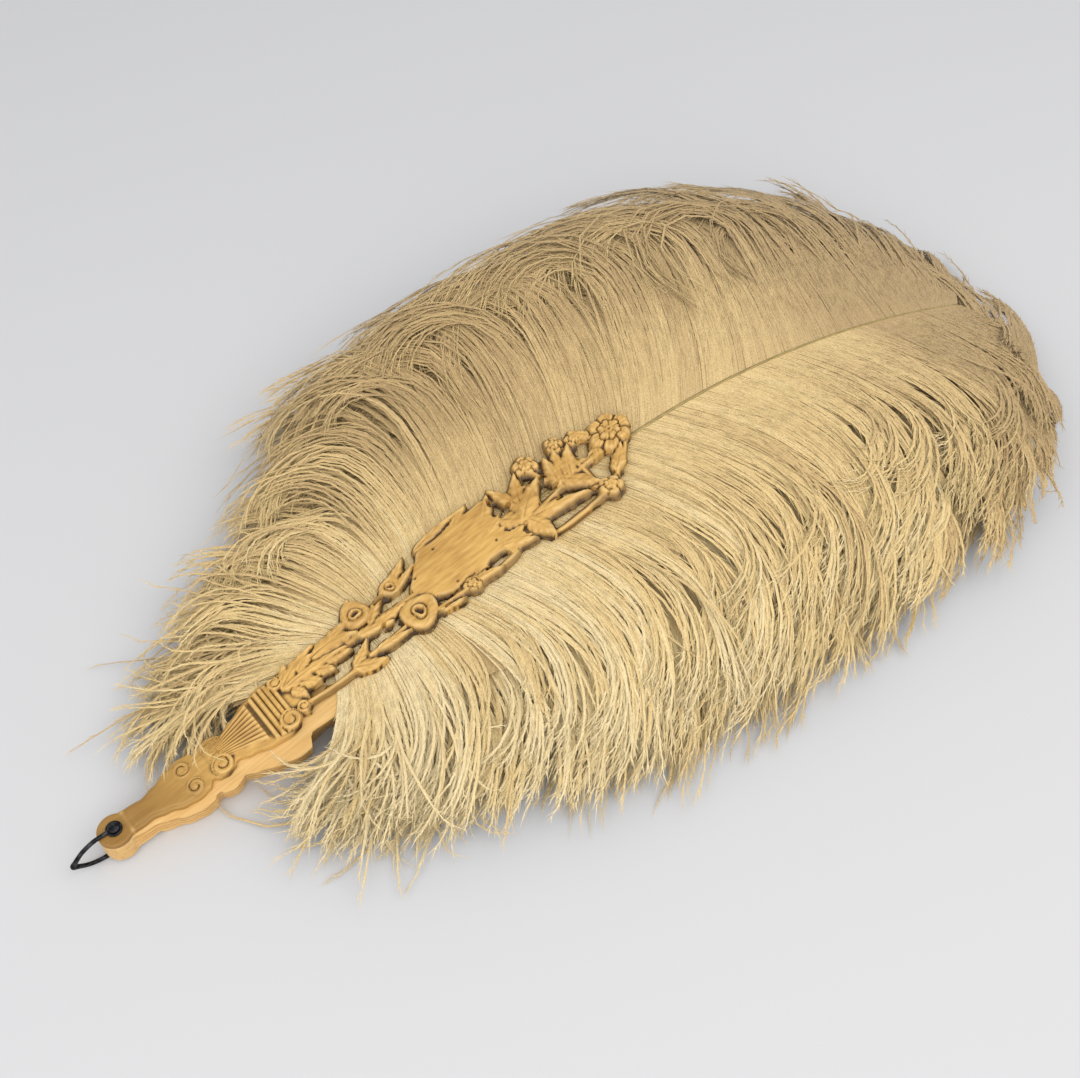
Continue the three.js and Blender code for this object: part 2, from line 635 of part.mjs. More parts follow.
function piece(name, geometry, color, roughness, metalness = 0) {
  const mesh = new THREE.Mesh(geometry, new THREE.MeshStandardMaterial({ color, roughness, metalness }));
  mesh.name = name;
  return mesh;
}

function plumePieces(index) {
  return [
    piece(`shaft_${index}`, shaftGeometry(index), QUILL, 0.5),
    piece(`near_vane_${index}`, vaneGeometry(index, -1), FEATHER, 0.85),
    piece(`far_vane_${index}`, vaneGeometry(index, 1), FEATHER, 0.85),
  ];
}

function stickPiece(index) {
  if (index === 0) return piece('rear_guard', rearGuardGeometry(), SHADED_WOOD, 0.5);
  if (index === front) return piece('front_guard', frontGuardGeometry(), WOOD, 0.45);
  return piece(`stick_${index}`, stickGeometry(index), WOOD, 0.45);
}

const fan = new THREE.Group();
for (let index = 0; index < plumeCount; index += 1) {
  const leafGroup = new THREE.Group();
  leafGroup.rotation.z = radians(REST_TURNS[index]);
  leafGroup.add(stickPiece(index), ...plumePieces(index));
  fan.add(leafGroup);
}
fan.add(piece('rivet_pin', rivetPinGeometry(), DARK_STEEL, 0.35, 0.9));
fan.add(piece('rivet_cap', rivetCapGeometry(), DARK_STEEL, 0.35, 0.9));
fan.add(piece('bail', bailGeometry(), DARK_STEEL, 0.4, 0.9));

// The origin is the middle of the fan's footprint, on the table.
const box = new THREE.Box3().setFromObject(fan, true);
fan.position.set(-(box.min.x + box.max.x) / 2, -(box.min.y + box.max.y) / 2, -box.min.z);

const model = new THREE.Group();
model.add(fan);

export default model;
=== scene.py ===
"""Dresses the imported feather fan: carved guard, plain sticks, plumes of single barbs, rivet and bail.

Sizes are millimetres in the fan's own frame: the rivet's axis is the origin, +X runs from the rivet to the
feather tips, +Y is the far side of the guard and +Z is up from the table.
"""
import logging
from collections.abc import Sequence
from dataclasses import dataclass, field
from enum import Enum

import bpy
import numpy as np
from mathutils import Matrix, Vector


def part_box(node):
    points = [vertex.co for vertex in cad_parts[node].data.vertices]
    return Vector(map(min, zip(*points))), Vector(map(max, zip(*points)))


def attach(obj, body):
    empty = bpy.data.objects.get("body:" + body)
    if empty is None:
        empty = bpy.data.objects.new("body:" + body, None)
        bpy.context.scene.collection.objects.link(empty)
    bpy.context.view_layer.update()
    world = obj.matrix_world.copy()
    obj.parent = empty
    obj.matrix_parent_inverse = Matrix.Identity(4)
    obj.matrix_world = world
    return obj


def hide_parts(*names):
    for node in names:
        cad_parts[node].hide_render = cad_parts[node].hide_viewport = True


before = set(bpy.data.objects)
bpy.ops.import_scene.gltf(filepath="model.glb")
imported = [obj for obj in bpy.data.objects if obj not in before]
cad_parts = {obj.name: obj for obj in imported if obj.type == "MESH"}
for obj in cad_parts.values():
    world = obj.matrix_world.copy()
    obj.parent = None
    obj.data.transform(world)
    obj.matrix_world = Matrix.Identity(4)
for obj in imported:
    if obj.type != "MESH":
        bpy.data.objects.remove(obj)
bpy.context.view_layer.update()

Array = np.ndarray
Point = tuple[float, float]
Place = tuple[float, float, float]
Colour = tuple[float, float, float]
Material = bpy.types.Material
Piece = bpy.types.Object
Socket = bpy.types.NodeSocket
Chance = np.random.Generator

METRES = 0.001
log = logging.getLogger("feather_fan")


class Side(Enum):
    """The two sides of a plume, by the sign of Y."""

    NEAR = -1
    FAR = 1


class Slot(Enum):
    """The material slots."""

    CARVED_WOOD = "carved_wood"
    STICK_WOOD = "stick_wood"
    QUILL = "quill"
    FEATHER = "feather"
    STEEL = "blackened_steel"


def within(share: Array) -> Array:
    """The numbers, held to the range from 0 to 1."""
    return np.clip(share, 0.0, 1.0)


def smooth(share: Array) -> Array:
    """Eases a share from 0 to 1 with flat ends, held to that range.

    Args:
        share: any numbers.
    Returns:
        The eased numbers.
    """
    held = within(share)
    return held * held * (3.0 - 2.0 * held)


def through(points: Sequence[Point], places: Array) -> Array:
    """A curve through given points, flat at each of them.

    Args:
        points: places and values, in rising order of place.
        places: where the curve is wanted.
    Returns:
        The values there; the end values go on outside.
    """
    at, value = np.array(points, float).T
    right = np.clip(np.searchsorted(at, places), 1, len(at) - 1)
    share = smooth((places - at[right - 1]) / (at[right] - at[right - 1]))
    return value[right - 1] + (value[right] - value[right - 1]) * share


def straight(points: Sequence[Point], places: Array) -> Array:
    """Values on straight lines between given points."""
    at, value = np.array(points, float).T
    return np.interp(places, at, value)


def unit(vectors: Array) -> Array:
    """The vectors at length one."""
    return vectors / np.maximum(np.linalg.norm(vectors, axis=-1, keepdims=True), 1e-9)


@dataclass
class Surface:
    """Vertices in fan millimetres, faces as quads and triangles, and values on the vertices."""

    points: Array
    quads: Array = field(default_factory=lambda: np.zeros((0, 4), int))
    triangles: Array = field(default_factory=lambda: np.zeros((0, 3), int))
    values: dict[str, Array] = field(default_factory=dict)
    normals: Array | None = None

    def joined(self, other: "Surface") -> "Surface":
        """Both surfaces as one, with the values that both have.

        Args:
            other: the surface to add.
        Returns:
            The joined surface.
        """
        shift = len(self.points)
        shared = {key: np.concatenate([value, other.values[key]])
                  for key, value in self.values.items() if key in other.values}
        kept = None
        if self.normals is not None and other.normals is not None:
            kept = np.vstack([self.normals, other.normals])
        return Surface(
            np.vstack([self.points, other.points]),
            np.vstack([self.quads, other.quads + shift]),
            np.vstack([self.triangles, other.triangles + shift]),
            shared,
            kept,
        )

    def make(self, name: str, material: Material, crease: float = 180.0) -> Piece:
        """Puts the surface into a mesh object at the origin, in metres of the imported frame.

        Args:
            name: the piece's name.
            material: its finish.
            crease: edges sharper than this many degrees are shown hard.
        Returns:
            The new object.
        """
        mesh = bpy.data.meshes.new(name)
        corners = np.concatenate([self.quads.ravel(), self.triangles.ravel()])
        counts = np.concatenate([np.full(len(self.quads), 4), np.full(len(self.triangles), 3)])
        starts = np.concatenate([[0], np.cumsum(counts)[:-1]])
        mesh.vertices.add(len(self.points))
        mesh.loops.add(len(corners))
        mesh.polygons.add(len(counts))
        spots = self.points * METRES + RIVET_AXIS
        mesh.vertices.foreach_set("co", spots.astype(np.float32).ravel())
        mesh.loops.foreach_set("vertex_index", corners.astype(np.int32))
        mesh.polygons.foreach_set("loop_start", starts.astype(np.int32))
        mesh.update(calc_edges=True)
        mesh.polygons.foreach_set("use_smooth", np.ones(len(counts), bool))
        for key, value in self.values.items():
            layer = mesh.attributes.new(key, "FLOAT", "POINT")
            layer.data.foreach_set("value", value.astype(np.float32).ravel())
        if self.normals is not None:
            layer = mesh.attributes.new("custom_normal", "FLOAT_VECTOR", "POINT")
            layer.data.foreach_set("vector", self.normals.astype(np.float32).ravel())
        if crease < 180.0:
            mesh.set_sharp_from_angle(angle=np.radians(crease))
        mesh.materials.append(material)
        return placed(name, mesh)


def placed(name: str, data: bpy.types.ID) -> Piece:
    """A new object in the scene.

    Args:
        name: its name.
        data: its mesh, camera or lamp.
    Returns:
        The object.
    """
    piece = bpy.data.objects.new(name, data)
    bpy.context.scene.collection.objects.link(piece)
    return piece


def stand(piece: Piece, axes: list[Array], place: Array) -> None:
    """Puts an object at a place, with its own axes along three directions.

    Args:
        piece: the object.
        axes: directions of its X, Y and Z.
        place: where it stands, in metres.
    """
    matrix = np.eye(4)
    matrix[:3, :3] = np.column_stack(axes)
    matrix[:3, 3] = place
    piece.matrix_world = Matrix(matrix.tolist())


def rivet_axis() -> Array:
    """The foot of the rivet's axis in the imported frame, in metres, from the rivet cap's box."""
    low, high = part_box("rivet_cap")
    return np.array([(low.x + high.x) / 2, (low.y + high.y) / 2, 0.0])


RIVET_AXIS = rivet_axis()


def tube_grid(rings: int, sides: int) -> tuple[Array, Array, Array]:
    """Numbers of a tube's vertices by ring and side, with its walls.

    Args:
        rings: how many rings it has.
        sides: points in a ring.
    Returns:
        The numbers, those of the next points round the rings, and a quad for each step and side.
    """
    index = np.arange(rings * sides).reshape(rings, sides)
    around = np.roll(index, -1, axis=1)
    return index, around, np.stack([index[:-1], around[:-1], around[1:], index[1:]], -1).reshape(-1, 4)


def closed_tube(rings: Array, ends: Sequence[Array]) -> Surface:
    """A tube through rings of points, closed by triangles to a point at each end.

    Args:
        rings: the points by ring and side.
        ends: the two end points.
    Returns:
        The closed tube.
    """
    sides = rings.shape[1]
    index, around, quads = tube_grid(*rings.shape[:2])
    first = np.stack([np.full(sides, index.size), around[0], index[0]], -1)
    last = np.stack([np.full(sides, index.size + 1), index[-1], around[-1]], -1)
    return Surface(np.vstack([rings.reshape(-1, 3), *ends]), quads, np.vstack([first, last]))


def sweep(path: Array, across: Array, up: Array, side: Array, sides: int) -> Surface:
    """Carries an ellipse along a path and closes both ends with a point.

    Each ring is path + across * cos(turn) * side + up * sin(turn) * normal, with the normal square to the
    path's own direction and to the given side direction.

    Args:
        path: points along the middle.
        across: half width of each ring.
        up: half height of each ring.
        side: one direction for all rings, about square to the path.
        sides: points in a ring.
    Returns:
        The closed tube.
    """
    along = unit(np.gradient(path, axis=0))
    flat = unit(side - (along @ side)[:, None] * along)
    normal = np.cross(along, flat)
    turn = np.linspace(0, 2 * np.pi, sides, endpoint=False)
    rings = (path[:, None] + (across[:, None] * np.cos(turn))[..., None] * flat[:, None]
             + (up[:, None] * np.sin(turn))[..., None] * normal[:, None])
    return closed_tube(rings, (path[0], path[-1]))


def revolve(profile: list[Point], sides: int = 48) -> Surface:
    """Turns a profile of radius and height about the rivet's axis; a first and last radius of 0 close it.

    Args:
        profile: radius and height, from the lower pole to the upper one.
        sides: points in a ring.
    Returns:
        The closed round solid.
    """
    inner = np.array(profile[1:-1], float)
    turn = np.linspace(0, 2 * np.pi, sides, endpoint=False)
    ring = np.stack([np.cos(turn), np.sin(turn)], -1)
    rings = np.concatenate([inner[:, :1, None] * ring, np.repeat(inner[:, 1:, None], sides, 1)], -1)
    return closed_tube(rings, [np.array([0.0, 0.0, profile[end][1]]) for end in (0, -1)])


@dataclass(frozen=True)
class Stack:
    """Levels of the stack of sticks, which depend on the distance from the rivet alone."""

    inner_sticks: int = 8
    stick: float = 0.95
    gap: float = 0.15
    rear_guard: float = 3.4
    front_plate: float = 2.2
    guard_length: float = 263.0
    rise_at_tip: float = 3.85
    flat_radius: float = 14.0
    bend_end: float = 38.0
    plume_gap: float = 0.4
    crest_beyond: float = 50.0
    crest_share: float = 0.085
    fall_length: float = 150.0
    fall_share: float = 0.6

    @property
    def front(self) -> int:
        """Number of the front guard, counted from the rear guard."""
        return self.inner_sticks + 1

    def plume_rise(self, radius: Array) -> Array:
        """Thickness of one plume layer: nothing at the head, a bend, then a steady taper.

        Args:
            radius: distance from the rivet.
        Returns:
            The thickness there.
        """
        start = (self.flat_radius + self.bend_end) / 2
        slope = self.rise_at_tip / (self.guard_length - start)
        bend = slope * np.square(radius - self.flat_radius) / (2 * (self.bend_end - self.flat_radius))
        taper = slope * (radius - start)
        return np.where(radius <= self.flat_radius, 0.0, np.where(radius < self.bend_end, bend, taper))

    def droop(self, radius: Array) -> Array:
        """Share of the level at the guard tips: a crest past the tips, then a fall.

        Args:
            radius: distance from the rivet.
        Returns:
            The share there.
        """
        past = radius - self.guard_length - self.crest_beyond
        crest = 1 + self.crest_share * (1 - np.square(past / self.crest_beyond))
        fall = 1 + self.crest_share - self.fall_share * np.square(past / self.fall_length)
        return np.where(radius < self.guard_length, 1.0, np.where(past < 0, crest, fall))

    def stick_underside(self, index: int, radius: Array) -> Array:
        """Underside of a stick or of the front guard."""
        head = self.rear_guard + self.gap + (index - 1) * (self.stick + self.gap)
        return head + (index + 1) * self.plume_rise(radius)

    def plume_level(self, index: int, radius: Array) -> Array:
        """Middle of a plume's layer.

        Args:
            index: place in the stack, from the bottom.
            radius: distance from the rivet.
        Returns:
            The height above the table.
        """
        head = self.rear_guard + self.gap + max(0, index - 1) * (self.stick + self.gap)
        rise = self.plume_rise(np.minimum(radius, self.guard_length))
        return (head + (index + 0.5) * rise - self.plume_gap / 2) * self.droop(radius)


STACK = Stack()


class Nodes:
    """A new material's node tree, with short calls that add and join nodes."""

    def __init__(self, name: str) -> None:
        """Starts a material with one Principled surface.

        Args:
            name: the material's name.
        """
        self.material = bpy.data.materials.new(name)
        self.material.use_nodes = True
        self.tree = self.material.node_tree
        self.surface = self.tree.nodes["Principled BSDF"]

    def add(self, kind: str, inputs: dict | None = None, **settings: object) -> bpy.types.Node:
        """Adds a node.

        Args:
            kind: the node's type.
            inputs: socket names with a value, or with an output to join.
            settings: the node's own properties.
        Returns:
            The node.
        """
        node = self.tree.nodes.new(kind)
        for key, value in settings.items():
            setattr(node, key, value)
        self.feed(node, inputs or {})
        return node

    def feed(self, node: bpy.types.Node, inputs: dict) -> None:
        """Sets or joins a node's inputs by name or number.

        Args:
            node: the node.
            inputs: a value, or an output to join, for each input.
        """
        for key, value in inputs.items():
            if isinstance(value, Socket):
                self.tree.links.new(value, node.inputs[key])
            else:
                node.inputs[key].default_value = value

    def ramp(self, amount: Socket, stops: list[tuple[float, Colour]]) -> Socket:
        """Colours between stops, picked by an amount.

        Args:
            amount: what picks the colour.
            stops: places from 0 to 1 with their colours.
        Returns:
            The colour.
        """
        node = self.add("ShaderNodeValToRGB", {"Fac": amount})
        band = node.color_ramp
        while len(band.elements) < len(stops):
            band.elements.new(0.5)
        for element, (place, colour) in zip(band.elements, stops):
            element.position = place
            element.color = (*colour, 1.0)
        return node.outputs["Color"]

    def value(self, name: str) -> Socket:
        """A value kept on the mesh's vertices."""
        return self.add("ShaderNodeAttribute", attribute_name=name).outputs["Fac"]

    def blend(self, amount: object, first: object, second: object) -> Socket:
        """Two colours mixed by an amount, which is the share of the second one."""
        node = self.add("ShaderNodeMix", {0: amount, 6: first, 7: second}, data_type="RGBA")
        return node.outputs[2]

    def noise(self, stretch: Place, detail: float, rough: float = 0.55) -> Socket:
        """Noise on Object coordinates, at so many waves per metre along X, Y and Z.

        Args:
            stretch: waves per metre.
            detail: how many finer waves are added.
            rough: how strong the finer waves are.
        Returns:
            The noise, from 0 to 1.
        """
        place = self.add("ShaderNodeTexCoord").outputs["Object"]
        mapped = self.add("ShaderNodeMapping", {"Vector": place, "Scale": stretch})
        inputs = {"Vector": mapped.outputs["Vector"], "Scale": 1.0, "Detail": detail, "Roughness": rough}
        return self.add("ShaderNodeTexNoise", inputs).outputs["Fac"]

    def between(self, amount: Socket, limits: Point) -> Socket:
        """A number between two limits, picked by an amount."""
        return self.add("ShaderNodeMapRange", {0: amount, 3: limits[0], 4: limits[1]}).outputs[0]

    def bump(self, height: Socket, depth: float) -> None:
        """Bends the surface's normals by a height, with the depth in metres."""
        node = self.add("ShaderNodeBump", {"Height": height, "Distance": depth})
        self.feed(self.surface, {"Normal": node.outputs["Normal"]})


@dataclass(frozen=True)
class CarvedWood:
    """Pale carved wood: honey grain, painted shade in the hollows, and ridges lightened by rubbed wear and a
    painted highlight.
    """

    dark: Colour = (0.37, 0.190, 0.043)
    middle: Colour = (0.57, 0.325, 0.080)
    light: Colour = (0.73, 0.455, 0.135)
    # painted shade: the near-black colour laid into the hollows and beside the openings
    hollow_shade: Colour = (0.045, 0.021, 0.006)
    # rubbed wear and a painted highlight: the light colour laid onto the ridges
    rubbed: Colour = (0.84, 0.58, 0.24)
    hands: Colour = (0.25, 0.125, 0.026)
    grain_waves: Place = (45.0, 700.0, 700.0)
    patch_waves: Place = (38.0, 60.0, 60.0)
    age: float = 0.45
    sheen: Point = (0.36, 0.58)
    grain_depth: float = 0.00025

    def material(self) -> Material:
        """Makes the finish; it reads the values hollow, ridge and handled of the mesh.

        Returns:
            The material.
        """
        nodes = Nodes("carved_wood")
        grain = nodes.noise(self.grain_waves, 6.0)
        patches = nodes.noise(self.patch_waves, 3.0)
        stops = [(0.30, self.dark), (0.50, self.middle), (0.70, self.light)]
        wood = nodes.ramp(grain, stops)
        aged = nodes.blend(self.age, wood, nodes.ramp(patches, [(0.35, self.dark), (0.6, self.light)]))
        used = nodes.blend(nodes.value("handled"), aged, (*self.hands, 1.0))
        # rubbed wear and a painted highlight: the ridges are lightened
        lit = nodes.blend(nodes.value("ridge"), used, (*self.rubbed, 1.0))
        # painted shade: the hollows and the rims of the openings are darkened
        shaded = nodes.blend(nodes.value("hollow"), lit, (*self.hollow_shade, 1.0))
        sheen = nodes.between(patches, self.sheen)
        nodes.feed(nodes.surface, {"Base Color": shaded, "Roughness": sheen, "Specular IOR Level": 0.4})
        nodes.bump(grain, self.grain_depth)
        return nodes.material


@dataclass(frozen=True)
class StickWood:
    """Plain planed wood of the inner sticks and the rear guard, a little brighter than the carving."""

    dark: Colour = (0.50, 0.27, 0.085)
    middle: Colour = (0.70, 0.43, 0.15)
    light: Colour = (0.82, 0.56, 0.24)
    fibre_waves: Place = (30.0, 900.0, 400.0)
    band_waves: Place = (9.0, 150.0, 60.0)
    sheen: Point = (0.34, 0.52)
    fibre_depth: float = 0.00012

    def material(self) -> Material:
        """Makes the finish: long fibres and faint growth bands.

        Returns:
            The material.
        """
        nodes = Nodes("stick_wood")
        fibres = nodes.noise(self.fibre_waves, 7.0, 0.6)
        bands = nodes.noise(self.band_waves, 2.0)
        fine = nodes.ramp(fibres, [(0.28, self.dark), (0.5, self.middle), (0.72, self.light)])
        broad = nodes.ramp(bands, [(0.35, self.middle), (0.62, self.light)])
        wood = nodes.blend(0.5, fine, broad)
        sheen = nodes.between(bands, self.sheen)
        nodes.feed(nodes.surface, {"Base Color": wood, "Roughness": sheen, "Specular IOR Level": 0.4})
        nodes.bump(fibres, self.fibre_depth)
        return nodes.material


@dataclass(frozen=True)
class Quill:
    """Horn of the plume shafts: golden olive, translucent and smooth."""

    dark: Colour = (0.205, 0.140, 0.040)
    light: Colour = (0.46, 0.345, 0.125)
    streak_waves: Place = (40.0, 2400.0, 2400.0)
    streak_depth: float = 0.00004

    def material(self) -> Material:
        """Makes the finish: long streaks, a waxy gloss.

        Returns:
            The material.
        """
        nodes = Nodes("quill")
        streaks = nodes.noise(self.streak_waves, 3.0)
        horn = nodes.ramp(streaks, [(0.3, self.dark), (0.7, self.light)])
        nodes.feed(nodes.surface, {"Base Color": horn, "Roughness": 0.38, "Coat Weight": 0.15})
        nodes.bump(streaks, self.streak_depth)
        return nodes.material


@dataclass(frozen=True)
class Feather:
    """Champagne ostrich barbs: tan where painted shade darkens them, deep in a lock, on the far side, at the
    tip and in the lower plumes; cream where they are pale.
    """

    tan: Colour = (0.44, 0.283, 0.115)
    beige: Colour = (0.66, 0.462, 0.20)
    champagne: Colour = (0.83, 0.615, 0.27)
    cream: Colour = (0.95, 0.785, 0.46)
    down_waves: Place = (1500.0, 1500.0, 1500.0)
    down_share: float = 0.34
    down_depth: float = 0.0005

    def material(self) -> Material:
        """Makes the finish; it reads the value tone of the mesh.

        Returns:
            The material.
        """
        nodes = Nodes("feather")
        stops = [(0.05, self.tan), (0.35, self.beige), (0.65, self.champagne), (0.95, self.cream)]
        colour = nodes.ramp(nodes.value("tone"), stops)
        down = nodes.noise(self.down_waves, 3.0)
        soft = nodes.blend(self.down_share, colour, nodes.ramp(down, [(0.32, self.tan), (0.68, self.cream)]))
        nodes.feed(nodes.surface, {"Base Color": soft, "Roughness": 0.72, "Specular IOR Level": 0.25})
        nodes.feed(nodes.surface, {"Sheen Weight": 0.25, "Sheen Roughness": 0.45})
        nodes.bump(down, self.down_depth)
        return nodes.material


@dataclass(frozen=True)
class BlackenedSteel:
    """Blued, nearly black steel with a few worn grey spots."""

    black: Colour = (0.012, 0.013, 0.016)
    worn: Colour = (0.085, 0.085, 0.09)
    spot_waves: Place = (420.0, 420.0, 420.0)
    gloss: Point = (0.26, 0.5)
    spot_depth: float = 0.00008

    def material(self) -> Material:
        """Makes the finish: spots of wear, and a gloss that changes with them.

        Returns:
            The material.
        """
        nodes = Nodes("blackened_steel")
        spots = nodes.noise(self.spot_waves, 4.0)
        colour = nodes.ramp(spots, [(0.48, self.black), (0.72, self.worn)])
        gloss = nodes.between(spots, self.gloss)
        nodes.feed(nodes.surface, {"Base Color": colour, "Roughness": gloss, "Metallic": 0.85})
        nodes.bump(spots, self.spot_depth)
        return nodes.material


@dataclass(frozen=True)
class Hole:
    """A slot with round ends, cut right through a board."""

    start: Point
    end: Point
    half: float

    def nearest(self, x: Array, y: Array) -> tuple[Array, Array]:
        """The nearest points on the slot's middle line.

        Args:
            x, y: places along and across the fan.
        Returns:
            Their X and Y.
        """
        dx, dy = self.end[0] - self.start[0], self.end[1] - self.start[1]
        length = max(dx * dx + dy * dy, 1e-9)
        share = within(((x - self.start[0]) * dx + (y - self.start[1]) * dy) / length)
        return self.start[0] + share * dx, self.start[1] + share * dy

    def clearance(self, x: Array, y: Array) -> Array:
        """Distance to the slot's edge, negative inside the slot."""
        near_x, near_y = self.nearest(x, y)
        return np.hypot(x - near_x, y - near_y) - self.half

    def onto_edge(self, x: Array, y: Array) -> tuple[Array, Array]:
        """The places pushed straight onto the slot's edge.

        Args:
            x, y: places along and across the fan.
        Returns:
            Their X and Y.
        """
        near_x, near_y = self.nearest(x, y)
        away = np.maximum(np.hypot(x - near_x, y - near_y), 1e-6)
        return near_x + (x - near_x) * self.half / away, near_y + (y - near_y) * self.half / away


@dataclass
class Board:
    """A thin pierced board: a grid of stations along it by shares across it, between two edges.

    A place on the board is (station, near edge + share * width). Cells inside a hole are left out, and
    the vertices round a hole are pushed onto its edge, so that the hole is smooth.
    """

    stations: Array
    far: Array
    near: Array
    columns: int
    holes: list[Hole]
    kept: Array = field(init=False)
    used: Array = field(init=False)

    def places(self) -> tuple[Array, Array]:
        """X and Y of the grid, with the vertices round each hole on its edge.

        Returns:
            The two grids.
        """
        share = np.linspace(0.0, 1.0, self.columns + 1)
        x = np.repeat(self.stations[:, None], len(share), 1)
        y = -self.near[:, None] + (self.far + self.near)[:, None] * share
        self.kept = np.ones((len(self.stations) - 1, self.columns), bool)
        middle_x = (x[:-1, :-1] + x[1:, 1:]) / 2
        middle_y = (y[:-1, :-1] + y[1:, 1:] + y[:-1, 1:] + y[1:, :-1]) / 4
        for hole in self.holes:
            gone = hole.clearance(middle_x, middle_y) < 0
            self.kept &= ~gone
            at_edge = self.corners(gone) & self.corners(~gone)
            edge_x, edge_y = hole.onto_edge(x, y)
            x = np.where(at_edge, edge_x, x)
            y = np.where(at_edge, edge_y, y)
        return x, y

    @staticmethod
    def corners(cells: Array) -> Array:
        """The grid's vertices that belong to at least one of the cells.

        Args:
            cells: a mark for each cell.
        Returns:
            A mark for each vertex.
        """
        marked = np.zeros((cells.shape[0] + 1, cells.shape[1] + 1), bool)
        marked[:-1, :-1] |= cells
        marked[1:, :-1] |= cells
        marked[:-1, 1:] |= cells
        marked[1:, 1:] |= cells
        return marked

    def cut_to(self, x: Array, y: Array, amount: Array, level: float) -> tuple[Array, Array]:
        """Leaves out the cells where an amount is below a level, with the new edges moved onto that level.

        Args:
            x: places along the board.
            y: places across it.
            amount: a smooth value at each place.
            level: the value at the edge.
        Returns:
            The places with the vertices of the new edges moved.
        """
        middle = (amount[:-1, :-1] + amount[1:, 1:] + amount[:-1, 1:] + amount[1:, :-1]) / 4
        gone = middle < level
        at_edge = self.corners(gone & self.kept) & self.corners(self.kept & ~gone)
        self.kept &= ~gone
        along, across = np.gradient(amount)
        need = (level - amount) / np.maximum(np.square(along) + np.square(across), 1e-4)
        ahead, aside = np.clip(need * along, -0.6, 0.6), np.clip(need * across, -0.6, 0.6)
        moved_x = x + ahead * np.gradient(x, axis=0) + aside * np.gradient(x, axis=1)
        moved_y = y + ahead * np.gradient(y, axis=0) + aside * np.gradient(y, axis=1)
        return np.where(at_edge, moved_x, x), np.where(at_edge, moved_y, y)

    def drop_loose(self) -> None:
        """Leaves out the cells that do not hang together with the first kept one; spreads out from that."""
        reached = np.zeros(self.kept.shape, bool)
        reached[tuple(np.argwhere(self.kept)[0])] = True
        while True:
            spread = np.pad(reached, 1)
            beside = spread[:-2, 1:-1] | spread[2:, 1:-1] | spread[1:-1, :-2] | spread[1:-1, 2:]
            wider = (reached | beside) & self.kept
            if (wider == reached).all():
                break
            reached = wider
        self.kept = reached

    def surface(self, x: Array, y: Array, under: Array, over: Array) -> Surface:
        """The closed board between an underside and a top.

        Args:
            x: places along the board.
            y: places across it.
            under: height of the underside at each place.
            over: height of the top at each place.
        Returns:
            Top and underside of the kept cells, and walls wherever a kept cell has no neighbour.
        """
        rows, columns = x.shape
        top = np.arange(rows * columns).reshape(rows, columns)
        low = top + rows * columns
        cell = self.kept
        corner = [top[:-1, :-1], top[1:, :-1], top[1:, 1:], top[:-1, 1:]]
        roof = np.stack([c[cell] for c in corner], -1)
        floor = roof[:, ::-1] + rows * columns
        wide = np.pad(cell, 1)
        walls = [roof, floor]
        left, right = wide[1:-1, :-1], wide[1:-1, 1:]
        along = np.stack([low[:-1], low[1:], top[1:], top[:-1]], -1)
        walls += [along[right & ~left], along[left & ~right][:, ::-1]]
        before, after = wide[:-1, 1:-1], wide[1:, 1:-1]
        across = np.stack([low[:, 1:], low[:, :-1], top[:, :-1], top[:, 1:]], -1)
        walls += [across[after & ~before], across[before & ~after][:, ::-1]]
        points = np.concatenate([np.stack([x, y, over], -1), np.stack([x, y, under], -1)]).reshape(-1, 3)
        return self.trimmed(points, np.vstack(walls))

    def trimmed(self, points: Array, quads: Array) -> Surface:
        """The surface without the vertices that no face uses; keeps which were used."""
        self.used, inverse = np.unique(quads, return_inverse=True)
        return Surface(points[self.used], inverse.reshape(quads.shape))


# Half width of the gorge by distance from the rivet, and of the guards above it on each side
GORGE = [(9.5, 5.4), (14, 5), (20, 6.6), (27, 9.3), (33, 10.2), (37.5, 9.4), (40.3, 6.9),
         (43, 9), (46.3, 9.7), (49.5, 8.7), (51.8, 6.8), (58, 9.2), (66, 11.9), (74, 13.4),
         (79, 12.8)]
SPRAY_FAR = [(82, 11.5), (90, 11), (102, 12), (113, 12.5), (122, 16), (130, 14.5),
             (137, 14), (146, 17.5), (159, 20), (189, 20)]
SPRAY_NEAR = [(82, 9.5), (90, 7.8), (107, 9.5), (116, 12.5), (126, 10.8), (134, 12),
              (143, 14), (151, 12), (161, 14.2), (189, 14.2)]
BOUQUET_FAR = [(197, 18), (206, 15), (215, 19.5), (226, 18.5), (236, 18), (245, 14.5),
               (254, 15.5), (261, 10), (263, 6)]
BOUQUET_NEAR = [(197, 13), (204, 15.5), (215, 16.5), (226, 16.5), (235, 19), (242, 15.5),
                (249, 9), (257, 4), (263, -2)]


